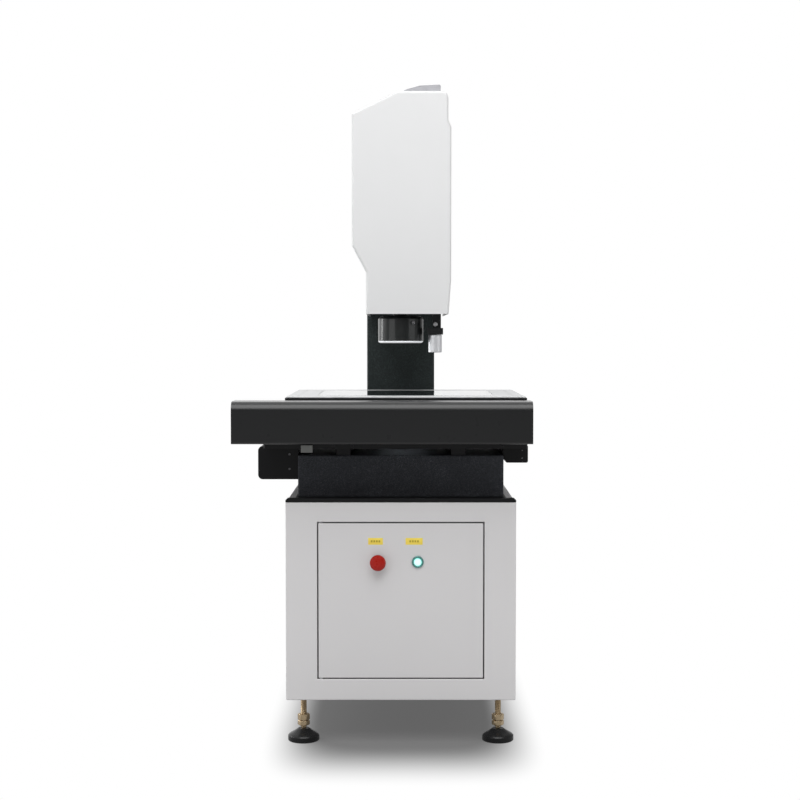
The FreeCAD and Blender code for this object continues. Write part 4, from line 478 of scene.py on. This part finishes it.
node_finish = {
    "cabinet_shell": "shell_white",
    "cabinet_frame": "frame_paint",
    "cabinet_top": "black_paint",
    "cabinet_back": "white_paint",
    "control_unit": "grey_paint",
    "hinge_pins": "steel",
    "granite_base": "black_granite",
    "granite_column": "column_granite",
    "y_rails": "rail_steel",
    "x_rails": "rail_steel",
    "z_rails": "rail_steel",
    "y_rail_stops": "black_aluminium",
    "y_drive_housing": "black_paint",
    "y_scale_housing": "black_paint",
    "screw_bearings": "black_aluminium",
    "x_screw_bearings": "black_aluminium",
    "head_arm": "cast_arm",
    "head_cover": "cover_white",
    "motor_cap": "cap_grey",
    "backlight": "lamp_housing",
    "saddle_plate": "black_aluminium",
    "y_nut": "steel",
    "x_nut": "steel",
    "z_nut": "steel",
    "beam_cover": "beam_black",
    "beam_end_caps": "beam_black",
    "saddle_sensors": "sensor_grey",
    "table_base": "black_aluminium",
    "table_top": "table_grey",
    "table_glass": "stage_glass",
    "z_slide_plate": "grey_aluminium",
    "camera_body": "camera_black",
    "zoom_lens": "lens_black",
    "ring_light": "ring_black",
    "sensor_bracket": "sensor_black",
    "sensor_body": "sensor_silver",
    "clamp_knob": "knob_silver",
    "cabinet_door": "door_white",
    "estop_base": "estop_body",
    "power_button_base": "bezel_teal",
    "estop_stem": "estop_dark",
    "estop_cap": "estop_red",
    "power_button_cap": "power_lens",
}
for node in nodes:
    if node.startswith("foot_pad"):
        node_finish[node] = "pad_black"
    elif node.startswith("foot_stud"):
        node_finish[node] = "zinc_yellow"
    elif node not in node_finish:
        node_finish[node] = node


# Painted shade in the door gap: black on the door's edges and round its opening, where the gap lies in shadow

touch, sheet, door_gap = 0.8 * MM, 2.0 * MM, 3.0 * MM


def paint_gap_shade(made, low, high, outward):
    """Painted shade: black where a surface lies within a touch of a rectangle's sides, behind the front of
    the sheet.
    """
    side = made.math("ABSOLUTE", made.math("SUBTRACT", made.axis("X"), (low[0] + high[0]) / 2))
    rise = made.math("ABSOLUTE", made.math("SUBTRACT", made.axis("Z"), (low[2] + high[2]) / 2))
    half_width = (high[0] - low[0]) / 2 + outward
    half_height = (high[2] - low[2]) / 2 + outward
    near_side = made.math("GREATER_THAN", side, half_width - touch)
    near_end = made.math("GREATER_THAN", rise, half_height - touch)
    within = made.math(
        "MULTIPLY",
        made.math("LESS_THAN", side, half_width + touch),
        made.math("LESS_THAN", rise, half_height + touch),
    )
    behind = made.math("GREATER_THAN", made.axis("Y"), low[1] + sheet)
    edge = made.math("MULTIPLY", made.math("MAXIMUM", near_side, near_end), within)
    made.blend(made.math("MULTIPLY", edge, behind), (0.012, 0.012, 0.012))


# Painted gap shade on the door's own edges and on the opening's sides across the gap
door_low, door_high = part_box("cabinet_door")
paint_gap_shade(finishes["door_white"], door_low, door_high, 0.0)
paint_gap_shade(finishes["shell_white"], door_low, door_high, door_gap)

# The power switch's body is black plastic behind the door's face
switch = finishes["bezel_teal"]
body = switch.math("GREATER_THAN", switch.axis("Y"), door_low[1] + 1.0 * MM)
switch.blend(body, (0.02, 0.02, 0.021))
switch.link(switch.math("SUBTRACT", 1.0, body), switch.shader.inputs["Metallic"])


# Rounded edges and smooth shading for the CAD nodes


def smooth_group(degrees):
    """Geometry nodes that shade smooth across every edge flatter than an angle."""
    group = bpy.data.node_groups.new(f"smooth_{degrees}", "GeometryNodeTree")
    group.is_modifier = True
    group.interface.new_socket("Geometry", in_out="INPUT", socket_type="NodeSocketGeometry")
    group.interface.new_socket("Geometry", in_out="OUTPUT", socket_type="NodeSocketGeometry")
    start = group.nodes.new("NodeGroupInput")
    end = group.nodes.new("NodeGroupOutput")
    angle = group.nodes.new("GeometryNodeInputMeshEdgeAngle")
    flatter = group.nodes.new("FunctionNodeCompare")
    flatter.data_type = "FLOAT"
    flatter.operation = "LESS_THAN"
    flatter.inputs[1].default_value = math.radians(degrees)
    edges = group.nodes.new("GeometryNodeSetShadeSmooth")
    edges.domain = "EDGE"
    faces = group.nodes.new("GeometryNodeSetShadeSmooth")
    faces.domain = "FACE"
    group.links.new(angle.outputs["Unsigned Angle"], flatter.inputs[0])
    group.links.new(start.outputs[0], faces.inputs["Geometry"])
    group.links.new(faces.outputs[0], edges.inputs["Geometry"])
    group.links.new(flatter.outputs[0], edges.inputs["Shade Smooth"])
    group.links.new(edges.outputs[0], end.inputs[0])
    return group


smoothing = smooth_group(28)
edge_rounding = {
    "cabinet_shell": 0.7,
    "cabinet_door": 0.5,
    "cabinet_top": 0.5,
    "cabinet_back": 0.4,
    "granite_base": 0.8,
    "granite_column": 0.8,
    "y_drive_housing": 0.5,
    "y_scale_housing": 0.5,
    "saddle_plate": 0.6,
    "table_base": 0.6,
    "table_top": 0.3,
    "beam_end_caps": 0.5,
    "head_arm": 1.0,
    "z_slide_plate": 0.5,
    "sensor_bracket": 0.5,
    "motor_cap": 0.8,
    "control_unit": 0.6,
}


def dress(node):
    part = nodes[node]
    part.data.materials.clear()
    part.data.materials.append(finishes[node_finish[node]].material)
    weld = part.modifiers.new("weld", "WELD")
    weld.merge_threshold = 0.00001
    if node in edge_rounding:
        bevel = part.modifiers.new("rounding", "BEVEL")
        bevel.width = edge_rounding[node] * MM
        bevel.segments = 2
        bevel.limit_method = "ANGLE"
        bevel.angle_limit = math.radians(40)
        bevel.use_clamp_overlap = True
    smooth = part.modifiers.new("smooth", "NODES")
    smooth.node_group = smoothing
    flat = part.modifiers.new("flat_faces", "WEIGHTED_NORMAL")
    flat.keep_sharp = True
    flat.weight = 80


for node in nodes:
    dress(node)


# Builders for the added pieces


def finish_piece(name, mesh, finish, body, angle=32):
    for edge in mesh.edges:
        edge.smooth = len(edge.link_faces) == 2 and edge.calc_face_angle(0.0) < math.radians(angle)
    for face in mesh.faces:
        face.smooth = True
    data = bpy.data.meshes.new(name)
    mesh.to_mesh(data)
    mesh.free()
    data.materials.append(finishes[finish].material)
    piece = bpy.data.objects.new(name, data)
    scene.collection.objects.link(piece)
    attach(piece, body)
    return piece


def turned(mesh, profile, segments, place, axis):
    """Adds a closed profile of (radius, height) in millimetres, turned round an axis through a place."""
    turn = Vector((0, 0, 1)).rotation_difference(Vector(axis)).to_matrix().to_4x4()
    move = Matrix.Translation(Vector(place) * MM) @ turn
    rings = []
    for radius, height in profile:
        if radius < 1e-6:
            rings.append([mesh.verts.new(move @ Vector((0, 0, height * MM)))])
            continue
        ring = []
        for index in range(segments):
            angle = 2 * math.pi * index / segments
            spot = Vector((radius * math.cos(angle), radius * math.sin(angle), height)) * MM
            ring.append(mesh.verts.new(move @ spot))
        rings.append(ring)
    for lower, upper in zip(rings, rings[1:]):
        for index in range(segments):
            corners = [
                lower[index % len(lower)],
                lower[(index + 1) % len(lower)],
                upper[(index + 1) % len(upper)],
                upper[index % len(upper)],
            ]
            distinct = list(dict.fromkeys(corners))
            if len(distinct) > 2:
                mesh.faces.new(distinct)
    return mesh


def slab(mesh, low, high, bevel=0.0):
    """Adds a box between two corners, in millimetres, with its edges rounded."""
    made = bmesh.ops.create_cube(mesh, size=1.0)["verts"]
    middle = (Vector(low) + Vector(high)) / 2 * MM
    size = (Vector(high) - Vector(low)) * MM
    for vert in made:
        vert.co = Vector([middle[i] + vert.co[i] * size[i] for i in range(3)])
    if bevel:
        edges = list({edge for vert in made for edge in vert.link_edges})
        bmesh.ops.bevel(mesh, geom=edges, offset=bevel * MM, segments=2, affect="EDGES", profile=0.5)
    return mesh


def cap_screw(mesh, place, axis, radius=4.0, height=3.0, socket=2.0):
    """A round head with a hexagon socket, its underside at a place."""
    turn = Vector((0, 0, 1)).rotation_difference(Vector(axis)).to_matrix().to_4x4()
    move = Matrix.Translation(Vector(place) * MM) @ turn
    segments = 24

    def ring(size, level, count=segments):
        found = []
        for index in range(segments):
            angle = 2 * math.pi * index / segments
            if count == 6:
                sector = (angle + math.pi / 6) % (math.pi / 3) - math.pi / 6
                reach = size / math.cos(sector)
            else:
                reach = size
            spot = Vector((reach * math.cos(angle), reach * math.sin(angle), level)) * MM
            found.append(mesh.verts.new(move @ spot))
        return found

    rings = [
        ring(radius, 0.0),
        ring(radius, height - radius * 0.15),
        ring(radius * 0.94, height - radius * 0.04),
        ring(radius * 0.86, height),
        ring(socket * 1.12, height),
        ring(socket, height - 0.25, 6),
        ring(socket, height * 0.35, 6),
    ]
    for lower, upper in zip(rings, rings[1:]):
        for index in range(segments):
            following = (index + 1) % segments
            mesh.faces.new([lower[index], lower[following], upper[following], upper[index]])
    mesh.faces.new(rings[-1])
    return mesh


# Levelling studs with cut threads and chamfered nuts


def threaded(mesh, x, y, low, high, radius, pitch, depth, segments=28, per_turn=6):
    rows = int((high - low) / pitch * per_turn)
    previous = None
    for row in range(rows + 1):
        level = low + (high - low) * row / rows
        fade = min(1.0, (high - level) / pitch, (level - low) / pitch)
        ring = []
        for index in range(segments):
            angle = 2 * math.pi * index / segments
            phase = (level / pitch - index / segments) % 1.0
            cut = depth * abs(2.0 * phase - 1.0) * fade + depth * (1.0 - fade)
            reach = (radius - cut) * MM
            spot = (x * MM + reach * math.cos(angle), y * MM + reach * math.sin(angle), level * MM)
            ring.append(mesh.verts.new(spot))
        if previous:
            for index in range(segments):
                following = (index + 1) % segments
                mesh.faces.new([previous[index], previous[following], ring[following], ring[index]])
        previous = ring
    mesh.faces.new(previous)
    return mesh


def hexagon_nut(mesh, x, y, low, high, flats, bore):
    """A nut with its corners chamfered by a 30 degree cone at both ends."""
    segments = 48
    apothem = flats / 2
    corner = apothem / math.cos(math.pi / 6)

    def ring(level, limit):
        found = []
        for index in range(segments):
            angle = 2 * math.pi * index / segments
            sector = angle % (math.pi / 3) - math.pi / 6
            reach = min(apothem / math.cos(sector), limit) * MM
            spot = (x * MM + reach * math.cos(angle), y * MM + reach * math.sin(angle), level * MM)
            found.append(mesh.verts.new(spot))
        return found

    face_limit = apothem * 0.97
    chamfer = (corner - face_limit) * 0.577
    steps = [0.0, 0.25, 0.5, 0.75, 1.0]
    rings = [ring(low, bore), ring(low, face_limit)]
    rings += [ring(low + chamfer * step, face_limit + (corner - face_limit) * step) for step in steps[1:]]
    rings += [
        ring(high - chamfer * step, face_limit + (corner - face_limit) * step) for step in reversed(steps[1:])
    ]
    rings += [ring(high, face_limit), ring(high, bore)]
    for lower, upper in zip(rings, rings[1:]):
        for index in range(segments):
            following = (index + 1) % segments
            mesh.faces.new([lower[index], lower[following], upper[following], upper[index]])
    return mesh


for corner in ("front_left", "front_right", "back_left", "back_right"):
    x, y, _ = centre(f"foot_stud_{corner}")
    mesh = bmesh.new()
    threaded(mesh, x, y, 34.0, 178.0, radius=8.0, pitch=2.0, depth=1.05)
    turned(
        mesh,
        [(0, 17.2), (4.2, 17.2), (7.0, 21.2), (7.0, 25.4), (4.9, 32.0), (6.9, 34.0), (0, 34.05)],
        28,
        (x, y, 0),
        (0, 0, 1),
    )
    hexagon_nut(mesh, x, y, 39.0, 51.0, flats=27.0, bore=7.4)
    hexagon_nut(mesh, x, y, 52.0, 68.0, flats=27.0, bore=7.4)
    piece = finish_piece(f"levelling_stud_{corner}", mesh, "zinc_yellow", f"stud_{corner}", 24)
    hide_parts(f"foot_stud_{corner}")


# Switches on the door

estop_x, _, estop_z = centre("estop_cap")
front = corners("cabinet_door")[0][1]

# Three arrows round the emergency stop's head, each a curved ribbon with a point
reach, steps, head_steps = 12.8, 10, 3
stem_width, head_width = 1.5, 3.4
face = front - 27.0
mesh = bmesh.new()
for index in range(3):
    start = 2 * math.pi * index / 3 + 0.5
    ribbon = []
    for step in range(steps + 1):
        angle = start + 1.25 * step / steps
        left = steps - step
        width = stem_width if left > head_steps else head_width * left / head_steps
        inner, outer = reach - width, reach + width
        ribbon.append(
            [
                Vector((estop_x + size * math.cos(angle), face + lift, estop_z + size * math.sin(angle))) * MM
                for size, lift in ((inner, -0.22), (outer, 1.35))
            ]
        )
    rows = [[mesh.verts.new(spot) for spot in pair] for pair in ribbon]
    for first, second in zip(rows, rows[1:]):
        mesh.faces.new([first[0], first[1], second[1], second[0]])
bmesh.ops.solidify(mesh, geom=mesh.faces[:], thickness=0.6 * MM)
bmesh.ops.remove_doubles(mesh, verts=mesh.verts[:], dist=1e-6)
finish_piece("estop_turn_marks", mesh, "estop_red", "estop_cap")

mesh = bmesh.new()
turned(
    mesh,
    [(12.9, -0.05), (17.6, -0.05), (17.6, 1.0), (17.0, 1.6), (15.2, 1.6), (15.2, 0.4), (12.9, 0.4)],
    64,
    (estop_x, front, estop_z),
    (0, -1, 0),
)
finish_piece("estop_gasket", mesh, "estop_body", "door")

mesh = bmesh.new()
turned(
    mesh,
    [(10.95, 3.3), (11.3, 3.85), (14.2, 3.85), (14.9, 3.3), (14.9, 3.0), (10.95, 3.0)],
    64,
    (power_x, front, power_z),
    (0, -1, 0),
)
finish_piece("power_bezel_rim", mesh, "bezel_teal", "door")

squares, square_step, square_half = 4, 6.4, 2.3
for name, low_x, high_x in (("left", -82.0, -45.0), ("right", 12.0, 55.0)):
    mesh = bmesh.new()
    slab(mesh, (low_x, front - 0.35, 507.0), (high_x, front + 0.1, 524.0), 0.12)
    finish_piece(f"label_{name}", mesh, "label_yellow", "door")
    mesh = bmesh.new()
    middle = (low_x + high_x) / 2
    for index in range(squares):
        at = middle + (index - (squares - 1) / 2) * square_step
        slab(mesh, (at - square_half, front - 0.45, 512.9), (at + square_half, front - 0.3, 518.3), 0.05)
    finish_piece(f"label_squares_{name}", mesh, "ink", "door")


# Screws

drive_front = corners("y_drive_housing")[0][1]
saddle_front = -461.0
mesh = bmesh.new()
for level in (726.0, 688.0):
    cap_screw(mesh, (-287.6, drive_front, level), (0, -1, 0), 2.8, 1.6, 1.3)
for level in (736.0, 716.0):
    cap_screw(mesh, (314.0, drive_front, level), (0, -1, 0), 1.8, 1.0, 0.9)
finish_piece("housing_screws", mesh, "dark_steel", "frame")

mesh = bmesh.new()
for along in (-169.0, -122.0, 254.0):
    cap_screw(mesh, (along, saddle_front, 757.0), (0, -1, 0), 4.2, 4.0, 2.0)
finish_piece("saddle_screws", mesh, "blackened", "saddle")

# The upper front screw of each end plate stands back from the rounded corner
caps_low, caps_high = corners("beam_end_caps")
_, beam_y, beam_z = centre("beam_end_caps")
mesh = bmesh.new()
for side, x in ((-1, caps_low[0]), (1, caps_high[0])):
    for rise, depth in ((-44.5, -24.0), (-44.5, 24.0), (44.5, -14.0), (44.5, 24.0)):
        cap_screw(mesh, (x, beam_y + depth, beam_z + rise), (side, 0, 0), 2.8, 0.9, 1.2)
finish_piece("end_cap_screws", mesh, "steel", "saddle")

back_low, back_high = corners("cabinet_back")
inset = 10.0
bottom, middle, top = back_low[2] + inset, centre("cabinet_back")[2], back_high[2] - inset
side = back_high[0] - inset
rows = [(x, z) for x in (-side, 0.0, side) for z in (bottom, top)] + [(-side, middle), (side, middle)]
mesh = bmesh.new()
for x, z in rows:
    cap_screw(mesh, (x, back_high[1] - 0.1, z), (0, 1, 0), 4.2, 1.2, 1.6)
finish_piece("back_screws", mesh, "steel", "frame")

cover_left, cover_right = -92.5, corners("head_cover")[1][0]
mesh = bmesh.new()
for y in (200.0, 224.0):
    cap_screw(mesh, (cover_left, y, 1180.0), (-1, 0, 0), 3.6, 1.6, 1.6)
    cap_screw(mesh, (cover_right, y, 1237.0), (1, 0, 0), 3.6, 1.6, 1.6)
finish_piece("cover_screws", mesh, "steel", "frame")


# Ring lamp: lower rim, lamps and thumb screw

ring_low = corners("ring_light")[0][2]
axis_y = centre("zoom_lens")[1]
mesh = bmesh.new()
turned(
    mesh,
    [
        (53.2, 0.6),
        (53.2, 0.0),
        (56.2, -0.05),
        (59.7, 2.4),
        (61.1, 5.4),
        (60.7, 5.4),
        (58.0, 2.4),
        (53.2, 0.6),
    ],
    96,
    (0, axis_y, ring_low),
    (0, 0, 1),
)
finish_piece("ring_rim", mesh, "diffuser", "z_slide")

ring_mouth = 53.0
ring_slope_height = 18.0
ring_slope_depth = 18.0
mesh = bmesh.new()
for row, (reach, count) in enumerate(((50.0, 32), (44.5, 28), (39.0, 24))):
    level = ring_low + ring_slope_height * (ring_mouth - reach) / ring_slope_depth - 0.2
    for index in range(count):
        angle = 2 * math.pi * (index + 0.5 * (row % 2)) / count
        spot = (reach * math.cos(angle), axis_y + reach * math.sin(angle), level)
        lean = (-math.cos(angle) * 0.6, -math.sin(angle) * 0.6, -1.0)
        turned(mesh, [(2.3, -0.6), (2.3, 0.6), (1.9, 1.5), (1.1, 2.1), (0, 2.3)], 10, spot, lean)
finish_piece("ring_lamps", mesh, "led_white", "z_slide")

mesh = bmesh.new()
turned(
    mesh,
    [
        (1.8, -6.0),
        (1.8, 1.2),
        (4.2, 1.2),
        (4.6, 1.6),
        (4.6, 6.0),
        (4.2, 6.4),
        (3.2, 6.4),
        (2.9, 5.4),
        (0, 5.4),
    ],
    36,
    (31.0, axis_y - 51.5, 1067.0),
    (0.5, -0.86, 0),
)
finish_piece("ring_thumb_screw", mesh, "thumb_steel", "z_slide")

mesh = bmesh.new()
turned(
    mesh,
    [(0, -0.9), (10.0, -0.55), (17.5, 0.4), (17.5, 1.0), (0, 1.0)],
    64,
    (0, axis_y, 1024.2),
    (0, 0, 1),
)
finish_piece("lens_front_glass", mesh, "lens_glass", "z_slide")

sensor_x, sensor_y, _ = centre("sensor_body")
sensor_low = corners("sensor_body")[0][2]
mesh = bmesh.new()
turned(
    mesh,
    [(0, -0.15), (12.5, -0.15), (13.0, 0.2), (13.0, 0.8), (0, 0.8)],
    48,
    (sensor_x, sensor_y, sensor_low),
    (0, 0, 1),
)
finish_piece("sensor_window", mesh, "lens_glass", "sensor")

mesh = bmesh.new()
turned(
    mesh,
    [(0, 0.0), (30.6, 0.0), (30.6, 1.4), (30.0, 1.8), (0, 1.8), (0, 0)],
    64,
    (0, axis_y, 797.0),
    (0, 0, 1),
)
finish_piece("backlight_diffuser", mesh, "diffuser", "frame")


# Back inlet and controller front

mesh = bmesh.new()
slab(mesh, (150.2, 440.0, 186.2), (197.8, 461.6, 212.8), 1.0)
finish_piece("inlet_body", mesh, "black_plastic", "frame")
# A flat near-black plate on the inlet's face stands in for its recess: painted shade
mesh = bmesh.new()
slab(mesh, (160.0, 461.2, 190.5), (188.0, 461.75, 208.5), 0.0)
finish_piece("inlet_recess_shade_plate", mesh, "painted_recess_shade", "frame")
mesh = bmesh.new()
for x, z in ((167.0, 196.0), (174.0, 203.0), (181.0, 196.0)):
    slab(mesh, (x - 1.0, 461.3, z - 2.4), (x + 1.0, 461.95, z + 2.4), 0.2)
finish_piece("inlet_pins", mesh, "brass", "frame")

unit_front = corners("control_unit")[0][1]
mesh = bmesh.new()
for index in range(5):
    x = -110.0 + index * 42.0
    slab(mesh, (x - 15.0, unit_front - 5.0, 140.0), (x + 15.0, unit_front + 1.0, 152.0), 1.2)
    for side in (-1, 1):
        cap_screw(mesh, (x + side * 18.5, unit_front, 146.0), (0, -1, 0), 2.0, 3.0, 1.0)
finish_piece("controller_sockets", mesh, "black_plastic", "frame")
mesh = bmesh.new()
for index in range(4):
    place = (-110.0 + index * 10, unit_front, 185.0)
    turned(mesh, [(1.6, -0.5), (1.6, 0.8), (0.9, 1.5), (0, 1.7)], 16, place, (0, -1, 0))
finish_piece("controller_lamps", mesh, "led_white", "frame")


# Floor: white, with the machine's soft shadow as a rounded rectangle

shadow_x, shadow_y = 0.006, 0.034
shadow_half_width, shadow_half_depth = 0.374, 0.884
shadow_power = 5.6
shadow_start, shadow_end = 0.585, 0.977
floor_mesh = bpy.data.meshes.new("floor")
floor_mesh.from_pydata([(-14, -7, 0), (14, -7, 0), (14, 12, 0), (-14, 12, 0)], [], [(0, 1, 2, 3)])
floor = bpy.data.objects.new("floor", floor_mesh)
scene.collection.objects.link(floor)
made = Shader("floor_pale", (0.11, 0.11, 0.11), 0.8, specular=0.1)
made.set("Emission Color", (1.0, 1.0, 1.0, 1.0))
made.set("Emission Strength", 0.10)
aside = made.math("ABSOLUTE", made.math("SUBTRACT", made.axis("X"), shadow_x))
away = made.math("ABSOLUTE", made.math("SUBTRACT", made.axis("Y"), shadow_y))
across = made.math("POWER", made.math("DIVIDE", aside, shadow_half_width), shadow_power)
along = made.math("POWER", made.math("DIVIDE", away, shadow_half_depth), shadow_power)
apart = made.math("POWER", made.math("ADD", across, along), 1 / shadow_power)
edge = made.node("ShaderNodeMapRange", interpolation_type="SMOOTHSTEP")
edge.inputs["From Min"].default_value = shadow_start
edge.inputs["From Max"].default_value = shadow_end
made.link(apart, edge.inputs["Value"])
open_floor = edge.outputs["Result"]
seen_from_camera = made.node("ShaderNodeLightPath").outputs["Is Camera Ray"]
white = made.node("ShaderNodeEmission")
white.inputs["Color"].default_value = (1.0, 1.0, 1.0, 1.0)
made.link(made.math("MULTIPLY_ADD", seen_from_camera, 0.42, 0.58), white.inputs["Strength"])
blend = made.node("ShaderNodeMixShader")
surface = next(node for node in made.tree.nodes if node.type == "OUTPUT_MATERIAL")
made.link(open_floor, blend.inputs["Fac"])
made.link(made.shader.outputs[0], blend.inputs[1])
made.link(white.outputs[0], blend.inputs[2])
made.link(blend.outputs[0], surface.inputs["Surface"])
floor_mesh.materials.append(made.material)
